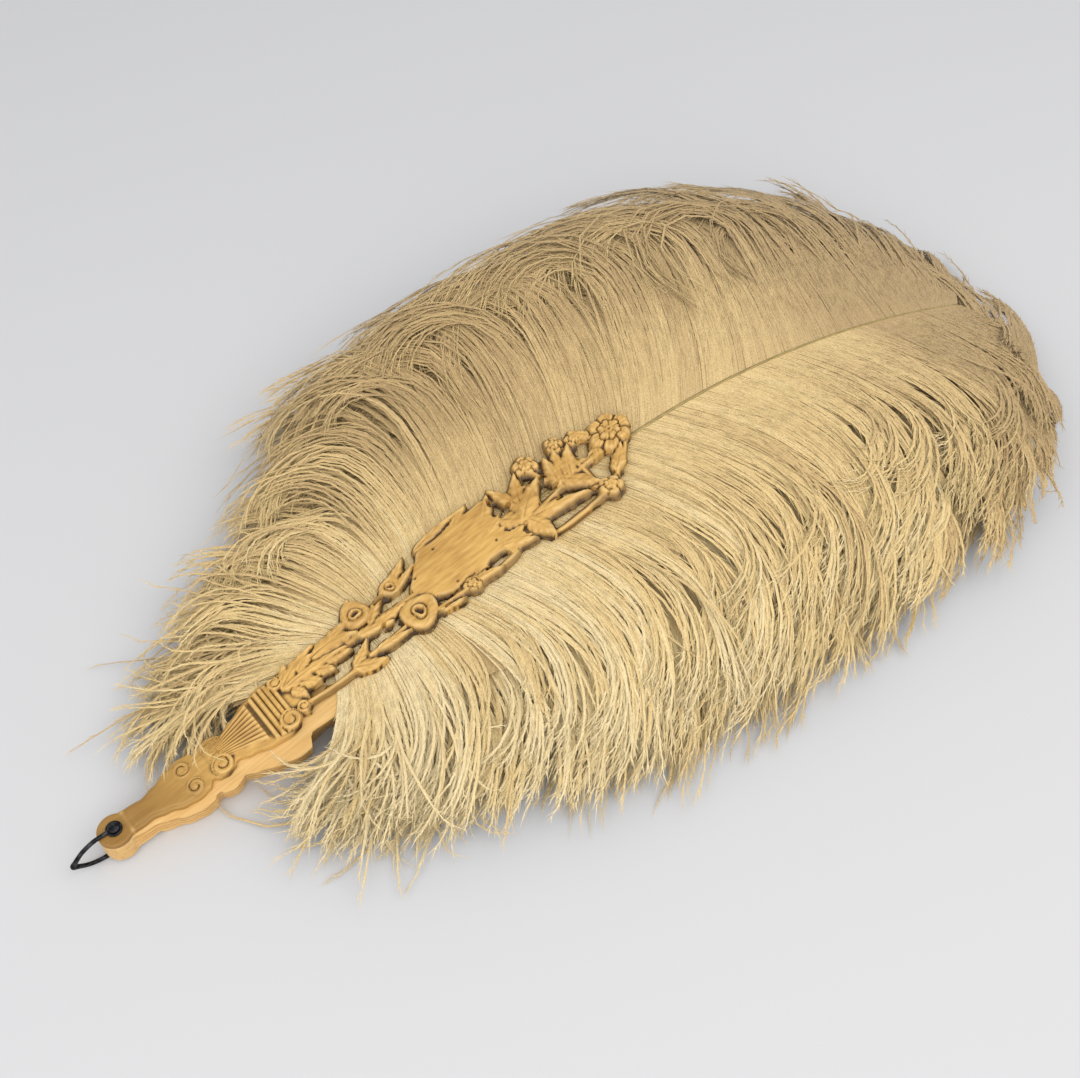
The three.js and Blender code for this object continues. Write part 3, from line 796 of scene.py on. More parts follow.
@dataclass
class Sticks:
    """The plain wooden leaves: eight inner sticks with a thin tongue, and the rear guard."""

    head_radius: float = 7.0
    head_end: float = 4.5
    head_steps: int = 22
    least_half: float = 0.05
    neck_half: float = 5.36
    neck_start: float = 9.0
    collar_step: float = 3.0
    collar_end: float = 82.0
    outline_from: float = 78.0
    outline_blend: float = 4.0
    tongue_length: float = 125.0
    tongue_root: float = 6.5
    tongue_tip: float = 2.6
    pin_hole: float = 1.8
    recess_radius: float = 15.8
    recess_depth: float = 2.2
    recess_wall: float = 0.4
    edge_round: float = 0.16
    edge_reach: float = 0.5
    station_step: float = 1.6
    columns: int = 14
    crease: float = 40.0
    turns: tuple[float, ...] = (0.0, -3.0, 1.0, -4.0, -1.0, -5.0, -2.0, 0.5, -7.0, 0.0)

    def head_half(self, x: Array) -> Array:
        """Half width of the round head, which runs into the neck past the rivet."""
        round_part = np.sqrt(np.maximum(self.head_radius ** 2 - np.square(x), 0.0))
        return np.maximum(round_part, self.least_half)

    def stations(self, end: float, step: float) -> Array:
        """Places along a stick, closer together round the head.

        Args:
            end: the last place.
            step: the distance between places past the head.
        Returns:
            The places, from the head's rim on.
        """
        turn = np.linspace(0, np.pi / 2, self.head_steps)
        head = -self.head_radius + (self.head_radius + self.neck_start) * (1 - np.cos(turn))
        body = np.arange(self.neck_start + step, end, step)
        return np.concatenate([head, body, [end]])

    def gorge_half(self, x: Array) -> Array:
        """Half width from the head to the collar."""
        neck = through([(self.head_end, self.neck_half), *GORGE], x)
        return np.where(x < self.head_end, self.head_half(x), neck)

    def leaf_half(self, x: Array) -> Array:
        """Half width of an inner stick: gorge, a step in at the collar, then the tapering tongue.

        Args:
            x: places along it.
        Returns:
            The half widths.
        """
        share = (x - self.collar_end) / self.tongue_length
        tongue = self.tongue_root + (self.tongue_tip - self.tongue_root) * within(share)
        step = smooth((x - self.collar_end + self.collar_step) / self.collar_step)
        return self.gorge_half(x) * (1 - step) + tongue * step

    def guard_edges(self, x: Array) -> tuple[Array, Array]:
        """Far and near edge of a guard: the gorge, then the outline of spray, shield and bouquet.

        Args:
            x: places along it.
        Returns:
            Distances of both edges from the middle line.
        """
        gorge = self.gorge_half(x)
        blend = smooth((x - self.outline_from) / self.outline_blend)
        far = gorge * (1 - blend) + through([*SPRAY_FAR, *BOUQUET_FAR], x) * blend
        near = gorge * (1 - blend) + through([*SPRAY_NEAR, *BOUQUET_NEAR], x) * blend
        return far, near

    def board(self, stations: Array, far: Array, near: Array) -> Board:
        """A board with the rivet's hole."""
        return Board(stations, far, near, self.columns, [Hole((0.0, 0.0), (0.0, 0.0), self.pin_hole)])

    def rounded(self, board: Board, x: Array, y: Array) -> Array:
        """How far the top falls at the edges, where the wood is rubbed round.

        Args:
            board: the stick's board.
            x, y: places along and across the fan.
        Returns:
            The fall at each place.
        """
        middle = (board.far - board.near)[:, None] / 2
        half = (board.far + board.near)[:, None] / 2
        rim = np.maximum(half - np.abs(y - middle), 0.0)
        return self.edge_round * np.exp(-rim / self.edge_reach)

    def inner(self, index: int, material: Material) -> Piece:
        """One inner stick, turned to its rest angle about the rivet.

        Args:
            index: place in the stack, from the bottom.
            material: its finish.
        Returns:
            The piece.
        """
        stations = self.stations(self.collar_end + self.tongue_length, self.station_step)
        half = self.leaf_half(stations)
        board = self.board(stations, half, half)
        x, y = board.places()
        under = STACK.stick_underside(index, np.hypot(x, y))
        over = under + STACK.stick - self.rounded(board, x, y)
        surface = board.surface(x, y, under, over)
        surface.points = turned(surface.points, self.turns[index])
        return surface.make(f"inner_stick_{index}", material, self.crease)

    def rear(self, material: Material) -> Piece:
        """The rear guard, plain, with a recess under its head for the rivet and the bail.

        Args:
            material: its finish.
        Returns:
            The piece.
        """
        stations = self.stations(STACK.guard_length, self.station_step)
        board = self.board(stations, *self.guard_edges(stations))
        x, y = board.places()
        recess = smooth((self.recess_radius - np.hypot(x, y)) / self.recess_wall)
        over = STACK.rear_guard - self.rounded(board, x, y)
        surface = board.surface(x, y, recess * self.recess_depth, over)
        return surface.make("rear_guard_board", material, self.crease)


def turned(points: Array, degrees: float) -> Array:
    """The points turned about the rivet's axis.

    Args:
        points: points of the fan.
        degrees: the angle, towards the far side.
    Returns:
        The points in their new places.
    """
    angle = np.radians(degrees)
    x = points[..., 0] * np.cos(angle) - points[..., 1] * np.sin(angle)
    y = points[..., 0] * np.sin(angle) + points[..., 1] * np.cos(angle)
    return np.stack([x, y, points[..., 2]], -1)


# Height where a motif has no wood
NOWHERE = -1e3


@dataclass(frozen=True)
class Leaf:
    """A carved leaf from its stalk to its tip: two cupped halves, a sunk midrib and slanting veins.

    The half width is half * sin(pi * u^0.62)^0.8 at share u of the length; the height falls from the crown to
    the edge with the square of the distance across.
    """

    start: Point
    end: Point
    half: float
    bow: float = 0.0
    edge: float = 2.5
    crown: float = 3.9
    veins: float = 5.0
    lobes: float = 0.0
    vein_height: float = 0.27
    midrib_depth: float = 0.75
    midrib_half: float = 0.38
    tip_rise: float = 0.5

    def height(self, x: Array, y: Array) -> Array:
        """Height of the leaf at each place, or nowhere outside it.

        Args:
            x, y: places along and across the fan.
        Returns:
            The heights above the guard's underside.
        """
        u, v = along_line(self.start, self.end, self.bow, x, y)
        inside = (u > 0) & (u < 1)
        held = np.clip(u, 1e-4, 1.0)
        width = self.half * np.sin(np.pi * held ** 0.62) ** 0.8 + 0.15
        if self.lobes:
            width = width * (0.78 + 0.22 * np.abs(np.cos(np.pi * self.lobes * held)))
        share = np.abs(v) / width
        cup = self.edge + (self.crown - self.edge) * (1 - share ** 2)
        midrib = self.midrib_depth * np.exp(-np.square(v / self.midrib_half)) * (1 - held)
        vein = self.vein_height * np.cos(2 * np.pi * (self.veins * held - share * 0.9)) * share
        tip = self.tip_rise * smooth((held - 0.55) / 0.45)
        return np.where(inside & (share < 1), cup - midrib + vein + tip * (1 - share), NOWHERE)


@dataclass(frozen=True)
class Stem:
    """A round stem along a bowed line, crown - 1 + sqrt(1 - (v / half)^2) high at distance v across it."""

    start: Point
    end: Point
    half: float = 0.9
    bow: float = 0.0
    crown: float = 3.0

    def height(self, x: Array, y: Array) -> Array:
        """Height of the stem at each place, or nowhere outside it.

        Args:
            x, y: places along and across the fan.
        Returns:
            The heights above the guard's underside.
        """
        u, v = along_line(self.start, self.end, self.bow, x, y)
        inside = (u > 0) & (u < 1) & (np.abs(v) < self.half)
        rise = np.sqrt(np.maximum(1 - np.square(v / self.half), 0.0))
        return np.where(inside, self.crown - 1.0 + rise, NOWHERE)


@dataclass(frozen=True)
class Blossom:
    """An open flower: broad petals with folds between them, a smaller row on them and a dimpled eye.

    With s the distance from the middle in shares of the scalloped rim, a row of petals swells with the sine
    of pi times a power of s, falls at its rim and sinks in bell curves between the petals.
    """

    centre: Point
    radius: float
    petals: int
    crown: float = 4.8
    turn: float = 20.0
    fold_depth: float = 1.2
    rim_fall: float = 1.2
    rib_height: float = 0.16
    inner_row: float = 0.58
    eye_share: float = 0.17

    def height(self, x: Array, y: Array) -> Array:
        """Height of the flower at each place, or nowhere outside it.

        Args:
            x, y: places along and across the fan.
        Returns:
            The heights above the guard's underside.
        """
        dx, dy = x - self.centre[0], y - self.centre[1]
        angle = np.arctan2(dy, dx) - np.radians(self.turn)
        lobe = np.abs(np.cos(self.petals * angle / 2))
        uneven = 1 + 0.07 * np.sin(2 * angle + self.centre[0]) + 0.05 * np.sin(3 * angle + self.centre[1])
        share = np.hypot(dx, dy) / (self.radius * (0.72 + 0.28 * lobe ** 0.55) * uneven)
        cup = self.crown * (0.66 + 0.20 * np.sin(np.pi * within(share) ** 1.6))
        fold = self.fold_depth * np.exp(-np.square(lobe / 0.22)) * smooth(share / 0.35)
        rolled = self.rim_fall * smooth((share - 0.78) / 0.22)
        ribs = self.rib_height * np.cos(self.petals * 4 * angle + 3 * share)
        ribs = ribs * smooth((share - 0.3) / 0.3)
        turned_lobe = np.abs(np.sin(self.petals * angle / 2 + 0.5))
        inner = share / (self.inner_row * (0.74 + 0.26 * turned_lobe ** 0.55))
        row = self.crown * (0.80 + 0.20 * np.sin(np.pi * within(inner) ** 1.3))
        row = row - 0.8 * np.exp(-np.square(turned_lobe / 0.24)) * smooth(inner / 0.5)
        row = row - 0.7 * smooth((inner - 0.8) / 0.2)
        eye = self.crown * (0.84 + 0.16 * np.exp(-np.square((share - 0.12) / 0.06)))
        middle = np.where(share < self.eye_share, eye, row)
        return np.where(share < 1, np.where(inner < 1, middle, cup - fold - rolled + ribs), NOWHERE)


@dataclass(frozen=True)
class Rose:
    """A rolled rose: a thick outer petal ring, a step, an inner ring and a hollow eye.

    The rings are swirled a little: the outer one swells with a power of a sine across its width, and the
    inner one is a bell curve round its own middle.
    """

    centre: Point
    radius: float
    crown: float = 4.6
    turn: float = 0.0

    def height(self, x: Array, y: Array) -> Array:
        """Height of the rose at each place, or nowhere outside it.

        Args:
            x, y: places along and across the fan.
        Returns:
            The heights above the guard's underside.
        """
        dx, dy = x - self.centre[0], y - self.centre[1]
        angle = np.arctan2(dy, dx) - np.radians(self.turn)
        share = np.hypot(dx, dy) / (self.radius * (1 + 0.07 * np.cos(3 * angle)))
        swirl = share + 0.05 * np.sin(2 * angle + 5 * share)
        outer = self.crown * (0.62 + 0.3 * np.sin(np.pi * within((swirl - 0.36) / 0.64)) ** 0.8)
        inner = self.crown * (0.60 + 0.4 * np.exp(-np.square((swirl - 0.30) / 0.10)))
        fold = 0.35 * np.exp(-np.square(np.sin(angle + 2.6 * share) / 0.12)) * smooth((share - 0.45) / 0.2)
        return np.where(share < 1, np.where(swirl < 0.42, inner, outer - fold), NOWHERE)


@dataclass(frozen=True)
class Scroll:
    """A volute: a rounded band that winds in to an eye; its middle is where r / pitch + turn is whole."""

    centre: Point
    radius: float
    hand: int = 1
    turn: float = 0.0
    crown: float = 3.5
    winds: float = 1.9
    groove_depth: float = 0.95
    eye_share: float = 0.3
    eye_rise: float = 0.25
    rim_fall: float = 0.6

    def height(self, x: Array, y: Array) -> Array:
        """Height of the scroll at each place, or nowhere outside it.

        Args:
            x, y: places along and across the fan.
        Returns:
            The heights above the guard's underside.
        """
        dx, dy = x - self.centre[0], y - self.centre[1]
        radius = np.hypot(dx, dy)
        pitch = self.radius / self.winds
        wind = radius / pitch + self.hand * (np.arctan2(dy, dx) - np.radians(self.turn)) / (2 * np.pi)
        groove = np.abs(wind - np.round(wind)) * 2
        band = self.crown - self.groove_depth * smooth((groove - 0.55) / 0.45)
        eye_radius = self.radius * self.eye_share
        eye = self.crown + self.eye_rise * np.sqrt(np.maximum(1 - np.square(radius / eye_radius), 0.0))
        rim = self.rim_fall * smooth((radius / self.radius - 0.86) / 0.14)
        return np.where(radius < self.radius, np.where(radius < eye_radius, eye, band) - rim, NOWHERE)


def along_line(start: Point, end: Point, bow: float, x: Array, y: Array) -> tuple[Array, Array]:
    """Share along a bowed line and signed distance across it.

    Args:
        start: where the line starts.
        end: where it ends.
        bow: how far its middle stands off to the left.
        x: places.
        y: places.
    Returns:
        Share along, and distance to the left of the bowed line.
    """
    dx, dy = end[0] - start[0], end[1] - start[1]
    length = float(np.hypot(dx, dy))
    u = ((x - start[0]) * dx + (y - start[1]) * dy) / length ** 2
    v = ((y - start[1]) * dx - (x - start[0]) * dy) / length
    return u, v - bow * 4 * u * (1 - u)


@dataclass
class CarvedGuard:
    """The front guard: a pierced board whose top is the highest of its carved motifs at each place."""

    sticks: Sticks
    rows: int = 560
    columns: int = 82
    openwork_from: float = 84.0
    opening_level: float = 0.24
    ledge: int = 3
    ledge_share: float = 0.42
    bevel: float = 0.9
    bevel_reach: float = 0.6
    edge_fall: float = 0.45
    edge_reach: float = 0.35
    least: float = 0.8
    spare: float = 2.2
    head_length: float = 8.0
    head_step: float = 0.5
    tip_spare: float = 0.6
    crease: float = 55.0
    bracket_place: float = 5.8
    bracket_bow: float = 0.02
    bracket_half: float = 0.75
    bracket_height: float = 0.55
    neck_rise: float = 0.5
    neck_from: float = 6.5
    neck_to: float = 29.0
    flutes: int = 9
    flute_focus: Point = (38.8, 1.0)
    flute_angle: float = 0.72
    flute_start: float = 42.0
    band_start: float = 66.0
    reeds: tuple[float, ...] = (69.0, 71.6, 74.2, 76.4, 78.6)
    reed_half: float = 1.05
    reed_height: float = 1.15
    shield_start: float = 146.0
    shield_middle: float = 5.5
    shield_height: float = 3.35
    shield_right: tuple[Point, ...] = ((-12.5, 187), (-11, 197.5), (-3.6, 197.5), (-2.8, 193),
                                       (0.5, 191.4), (4, 191), (5, 192.4), (19.2, 192.6))
    shield_upper: tuple[Point, ...] = ((146, 6), (152.8, 12.7), (158.2, 17.5), (192.6, 19.1))
    shield_lower: tuple[Point, ...] = ((146, 4), (150, -8.4), (186, -8.8), (187, -12),
                                       (198, -10.8))
    pins: tuple[Point, ...] = ((164.3, 13.6), (190, 10.4), (152.6, -5.6), (162.6, -6), (186, -2),
                               (153.2, 13.8), (150.4, 7.6))
    pin_depth: float = 1.3
    pin_half: float = 0.55
    mean_reach: int = 4
    most_rubbed_and_lit: float = 0.55
    most_handled: float = 0.75
    handled_length: float = 50.0

    def motifs(self) -> list[Leaf | Stem | Blossom | Rose | Scroll]:
        """The carved motifs, from the gorge to the bouquet at the tip.

        Returns:
            The motifs.
        """
        scrolls = [Scroll((33.4, -4.9), 4, 1, 30, 2.95), Scroll((46.2, -4.9), 4.6, -1, 150, 3.6),
                   Scroll((32.6, 4.7), 3.8, -1, -30, 2.95), Scroll((45.2, 5.6), 3.2, 1, 200, 3),
                   Scroll((77, -8.2), 4.6, 1, 60, 3.9), Scroll((84, -7), 2.8, -1, 0, 3.6),
                   Scroll((80.5, 9.8), 3.4, -1, 40, 3.7)]
        acanthus = [Leaf((81, 4.6), (102, 12.8), 3.6, 1.6, lobes=4),
                    Leaf((83, 8), (88, 15.2), 2.2, -0.6),
                    Leaf((90, 6.5), (99, 9.2), 3.4, 1, 2.5, 4.3),
                    Leaf((98, 8), (119, 4.2), 4.6, 2.2, lobes=4),
                    Leaf((82, 3.8), (112, 1.8), 3, 1.2, 2.6, 4.6, lobes=6),
                    Leaf((84, 2), (88, -5.4), 2.4, 0.8),
                    Leaf((88, 2.6), (96, -6.4), 3.2, 1.6, lobes=3),
                    Leaf((96, 2.2), (103, -3.6), 2.6, 0.8),
                    Leaf((101, 3), (113, -0.6), 2.6, 0.6),
                    Leaf((106, 8.6), (119.5, 11.8), 3.4, 0.6, lobes=3)]
        spray = [Stem((86, -6.8), (110, -8.8), 1, -0.5), Leaf((108, -7.6), (123.6, -15), 3, -0.8),
                 Leaf((108.5, -7.4), (120, -0.6), 2.4, -0.6), Stem((112, 3.4), (148, 1.6), 1.3, 0.6),
                 Leaf((117, 3), (134, -3), 2.6, 0.8), Leaf((126, 2.4), (141, 1.2), 2.4, -0.4),
                 Leaf((120, -8), (136, -10.8), 2.2, 0.4), Stem((116, -7.6), (136, -7.4), 1),
                 Rose((122.2, 11.6), 6.7, 4.7, 90), Leaf((119, 14), (124.2, 20), 2.6),
                 Leaf((124, 3.6), (137.5, 12.4), 2.4, 0.8), Rose((140.4, 11.8), 4.9, 4.3, 40),
                 Leaf((139, 13), (153, 20), 2.4, -0.8), Rose((142.6, -6.4), 8, 5, 15),
                 Leaf((142, 9), (154, 13.4), 1.8, 0.4), Stem((147, -4), (155, -3), 1.6),
                 Leaf((157, 18.4), (184, 20.8), 2, 0.9, 2.4, 3.4)]
        under_shield = [Stem((148, -10.4), (163.5, -11.6), 0.9, 0.2),
                        Leaf((149, -12), (161.5, -14.6), 1.6, -0.4),
                        Blossom((166.4, -11.4), 4.4, 5, 4.2), Leaf((169, -11), (181, -14.6), 2.3, 0.5),
                        Stem((178, -13.4), (190, -12.4), 1), Stem((166, -9), (176, -8.6), 0.8),
                        Leaf((186, -6), (199.6, -14), 2.8, 0.5),
                        Leaf((188, 10), (196.4, 18.6), 3.2, -0.5),
                        Leaf((186, 3), (197.6, 6.6), 2.6, 0.3),
                        Leaf((176, 16), (188, 21.4), 2.2, 0.4)]
        lily = [Leaf((203.4, 1.6), (197.2, 20.4), 3.3, -0.8), Leaf((203.6, 2), (211.6, 18.6), 3.8, 0.9),
                Leaf((199.6, -3.6), (217.4, 9.4), 5, 1, 2.6, 4.5),
                Leaf((199, -4), (229, -11), 3.7, 0.8),
                Leaf((201.6, -4), (205.6, -18.2), 4.2, 0.6, 2.6, 4.6),
                Leaf((192.5, 4.6), (202.4, -5), 4.2, 0.4)]
        stems = [Stem((202, -4), (256, 2.2), 1, 0.6), Stem((204, -16.6), (234, -16.4), 1.1, -0.8),
                 Stem((210, -8.4), (238, -11.6), 0.9, -0.6), Stem((234.6, 14), (234.2, -13), 0.95),
                 Stem((239, -14.4), (256, -3), 1, -1.2), Stem((210, 10.6), (223, 5), 0.9),
                 Stem((217.4, 15), (219.4, 5.4), 0.9), Stem((240, 13), (249, 8.6), 1),
                 Stem((221, 3.2), (256, 4.4), 0.9, -0.6)]
        tulip = [Leaf((221.6, -0.6), (225, 15.8), 3.6, -0.6, 2.6, 4.4),
                 Leaf((225, -0.4), (231, 16.6), 3.5),
                 Leaf((228.4, -0.2), (237.6, 13.8), 3.5, 0.8, 2.6, 4.3),
                 Leaf((222, 3.4), (236, -12.6), 3.8, 0.9)]
        flowers = [Blossom((217.4, 18), 6, 6, 4.5), Blossom((232.8, 17.4), 4.8, 5, 4.3, 50),
                   Blossom((241, 14), 4.3, 5, 4.2, 0), Blossom((237, -15.8), 5.8, 5, 4.8, 35),
                   Leaf((243, -11.6), (254, -2), 3.2, -0.6),
                   Leaf((245, 3), (239.4, -6.6), 2.6, 0.5),
                   Leaf((247, 10.6), (241, 18.6), 2.6, 0.4), Blossom((254.2, 5.8), 10.4, 6, 5.3, 62)]
        return [*scrolls, *acanthus, *spray, *under_shield, *lily, *stems, *tulip, *flowers]

    def holes(self) -> list[Hole]:
        """The rivet's hole and the piercings.

        Returns:
            The slots.
        """
        slots = [((92, -4.4), (107, -5.2), 1.5), ((104, -1.8), (110, -3.2), 1.2),
                 ((118.6, -6.3), (128.6, -0.8), 0.85), ((126.8, -6.4), (134.8, -1.8), 0.8),
                 ((131, 9.6), (135, 10.6), 0.9), ((136, 6.8), (144.4, 6.9), 0.8),
                 ((139.4, 3.9), (144.6, 4.1), 0.8), ((152, -9.4), (160, -9.2), 0.5),
                 ((151.6, -12.2), (159, -13.2), 0.5), ((174.6, -10.6), (186, -10.4), 1),
                 ((194.4, 5.2), (200, 7.6), 1.3), ((211, 11.2), (212.6, 12), 1),
                 ((216.4, 1.2), (221, 1), 1.1), ((217.4, 6.4), (219.4, 9), 1),
                 ((216.6, -5.2), (224.6, -6.2), 0.9), ((211.4, -12.8), (221, -13.2), 0.8),
                 ((239, 4.6), (242.2, 9.4), 2.2), ((238, -2.8), (247, -2.4), 1.5),
                 ((228.6, -9.2), (231.4, -12.4), 0.8), ((194, 13), (195, 15.6), 0.9)]
        rivet = Hole((0, 0), (0, 0), self.sticks.pin_hole)
        return [rivet, *(Hole(start, end, half) for start, end, half in slots)]

    def edges(self, x: Array) -> tuple[Array, Array]:
        """Edges of the guard, scalloped where flowers and leaves stand out past the plain outline.

        Args:
            x: places along it.
        Returns:
            Distances of both edges from the middle line.
        """
        far, near = self.sticks.guard_edges(x)
        room = self.spare * smooth((x - self.openwork_from + 3.0) / 5.0)
        far_lobes = [(122.6, 11.6, 7.4), (217.4, 18, 5.9), (232.8, 17.2, 4.6), (241, 14, 4.2),
                     (254.2, 5.8, 9.9), (140.4, 11.8, 5)]
        near_lobes = [(142.6, 6.4, 8), (237, 15.8, 5.6), (166.4, 11.4, 4.4)]
        for middle, height, radius in far_lobes:
            far = np.maximum(far, height + lobe(x - middle, radius))
        for middle, height, radius in near_lobes:
            near = np.maximum(near, height + lobe(x - middle, radius))
        return far + room, near + room

    def ground(self, x: Array, y: Array) -> Array:
        """Height of the board under the motifs: a bracket, a raised neck, flutes and reeds on flat ground.

        Args:
            x, y: places along and across the fan.
        Returns:
            The heights above the guard's underside.
        """
        ground = np.full(x.shape, STACK.front_plate)
        inside = through(GORGE, x) - np.abs(y)
        arc = (x - self.bracket_place + self.bracket_bow * y * y) / self.bracket_half
        bracket = self.bracket_height * np.exp(-np.square(arc))
        neck = self.neck_rise * smooth(x - self.neck_from) * (1 - smooth((x - self.neck_to) / 3.0))
        neck *= smooth((inside - 1.2) / 0.6)
        angle = (y - self.flute_focus[1]) / np.maximum(x - self.flute_focus[0], 1.0)
        fan = 0.5 + 0.5 * np.cos(2 * np.pi * angle * self.flutes / self.flute_angle)
        in_fan = smooth((x - self.flute_start) / 2.0) * (1 - smooth((x - self.band_start) / 0.6))
        in_fan *= smooth((inside - 0.8) / 0.5) * smooth((y + 0.30 * (x - 36.0)) / 0.8)
        flutes = in_fan * (0.35 + 0.85 * fan ** 0.6)
        rounds = [np.sqrt(np.maximum(1 - np.square((x - reed) / self.reed_half), 0)) for reed in self.reeds]
        in_reeds = smooth((inside - 1.0) / 0.5) * (x > self.band_start)
        return ground + bracket + neck + flutes + self.reed_height * np.max(rounds, 0) * in_reeds

    def shield(self, x: Array, y: Array) -> Array:
        """Height of the plain shield: hollow shoulders at the left, a notch at the right, soft edges.

        Args:
            x, y: places along and across the fan.
        Returns:
            The heights, or nowhere outside the shield.
        """
        aside = y - self.shield_middle
        left = self.shield_start + np.where(aside > 0, 0.055, 0.05) * np.square(aside)
        right = straight(self.shield_right, y) + 0.9 * np.sin(1.15 * y + 0.6) + 0.5 * np.sin(2.3 * y)
        upper = straight(self.shield_upper, x) - 0.45 * (1 + np.sin(x / 2.9))
        lower = straight(self.shield_lower, x) + 0.55 * (1 + np.sin(x / 2.2 + 1.0))
        rim = np.minimum(np.minimum(x - left, right - x), np.minimum(upper - y, y - lower))
        swell = self.shield_height + 0.12 * np.sin(x / 5.0 + y / 7.0)
        worn = 0.05 * np.sin(2.1 * y + 0.4 * np.sin(x / 3.0))
        pits = sum(np.exp(-np.square(np.hypot(x - px, y - py) / self.pin_half)) for px, py in self.pins)
        return np.where(rim > 0, swell + worn - 0.55 * np.exp(-rim / 0.5) - self.pin_depth * pits, NOWHERE)

    def relief(self, x: Array, y: Array) -> Array:
        """Height of shield and motifs above the guard's underside, or nowhere between them.

        Args:
            x, y: places along and across the fan.
        Returns:
            The heights.
        """
        height = self.shield(x, y)
        for motif in self.motifs():
            height = np.maximum(height, motif.height(x, y))
        return height

    def piece(self, material: Material) -> Piece:
        """Builds the guard, with its hollows and ridges kept for the finish.

        Args:
            material: its finish.
        Returns:
            The piece.
        """
        body = np.linspace(self.head_length, STACK.guard_length + self.tip_spare, self.rows)
        stations = np.concatenate([self.sticks.stations(self.head_length, self.head_step)[:-2], body])
        stations = np.unique(np.round(stations, 4))
        far, near = self.edges(stations)
        board = Board(stations, far, near, self.columns, self.holes())
        x, y = board.places()
        left = (self.relief(x, y) > 0) | (x < self.openwork_from)
        left |= box_mean(left.astype(float), self.ledge) > self.ledge_share
        wood = box_mean(left.astype(float), 2)
        x, y = board.cut_to(x, y, wood, self.opening_level)
        board.drop_loose()
        carved = np.maximum(self.ground(x, y), self.relief(x, y))
        carved -= self.bevel * (1 - smooth((wood - self.opening_level) / self.bevel_reach))
        rim = np.minimum(far[:, None] - y, y + near[:, None])
        carved -= self.edge_fall * np.exp(-np.maximum(rim, 0.0) / self.edge_reach)
        under = STACK.stick_underside(STACK.front, np.maximum(x, 0.0))
        surface = board.surface(x, y, under, under + np.maximum(carved, self.least))
        # hollow carries painted shade; ridge carries rubbed wear and a painted highlight
        values = {"hollow": self.hollow(carved, left), "ridge": self.ridge(carved),
                  "handled": self.handled(x)}
        surface.values = {key: np.tile(value.ravel(), 2)[board.used] for key, value in values.items()}
        return surface.make("carved_guard", material, self.crease)

    def hollow(self, carved: Array, left: Array) -> Array:
        """Painted shade in hollows, where the height is below its mean round about, and beside the openings.

        Args:
            carved: heights of the carving.
            left: where wood is left.
        Returns:
            Painted shade from 0 to 1.
        """
        open_near = 1 - box_mean(left.astype(float), self.ledge)
        sunk = box_mean(carved, self.mean_reach) - carved
        return np.maximum(smooth((sunk - 0.06) / 0.62), 0.6 * smooth(open_near / 0.5))

    def ridge(self, carved: Array) -> Array:
        """Rubbed wear and a painted highlight on ridges, where the height is above its mean round about."""
        raised = carved - box_mean(carved, self.mean_reach)
        return self.most_rubbed_and_lit * smooth((raised - 0.08) / 0.6)

    def handled(self, x: Array) -> Array:
        """Dark polish from hands, strongest at the head."""
        return self.most_handled * (1 - smooth((x - self.head_length) / self.handled_length))


def box_mean(values: Array, reach: int) -> Array:
    """Mean of each value with its neighbours up to a reach in rows and columns.

    Args:
        values: a grid of values.
        reach: how many neighbours count on each side.
    Returns:
        The means, on the same grid.
    """
    size = 2 * reach + 1
    total = np.pad(np.pad(values, reach, mode="edge").cumsum(0).cumsum(1), ((1, 0), (1, 0)))
    upper, lower = total[:-size], total[size:]
    return (lower[:, size:] - upper[:, size:] - lower[:, :-size] + upper[:, :-size]) / size ** 2


def lobe(offset: Array, radius: float) -> Array:
    """Half chord of a circle at an offset from its middle, far below zero outside it."""
    inside = radius ** 2 - np.square(offset)
    return np.where(inside > 0, np.sqrt(np.maximum(inside, 0.0)), NOWHERE)


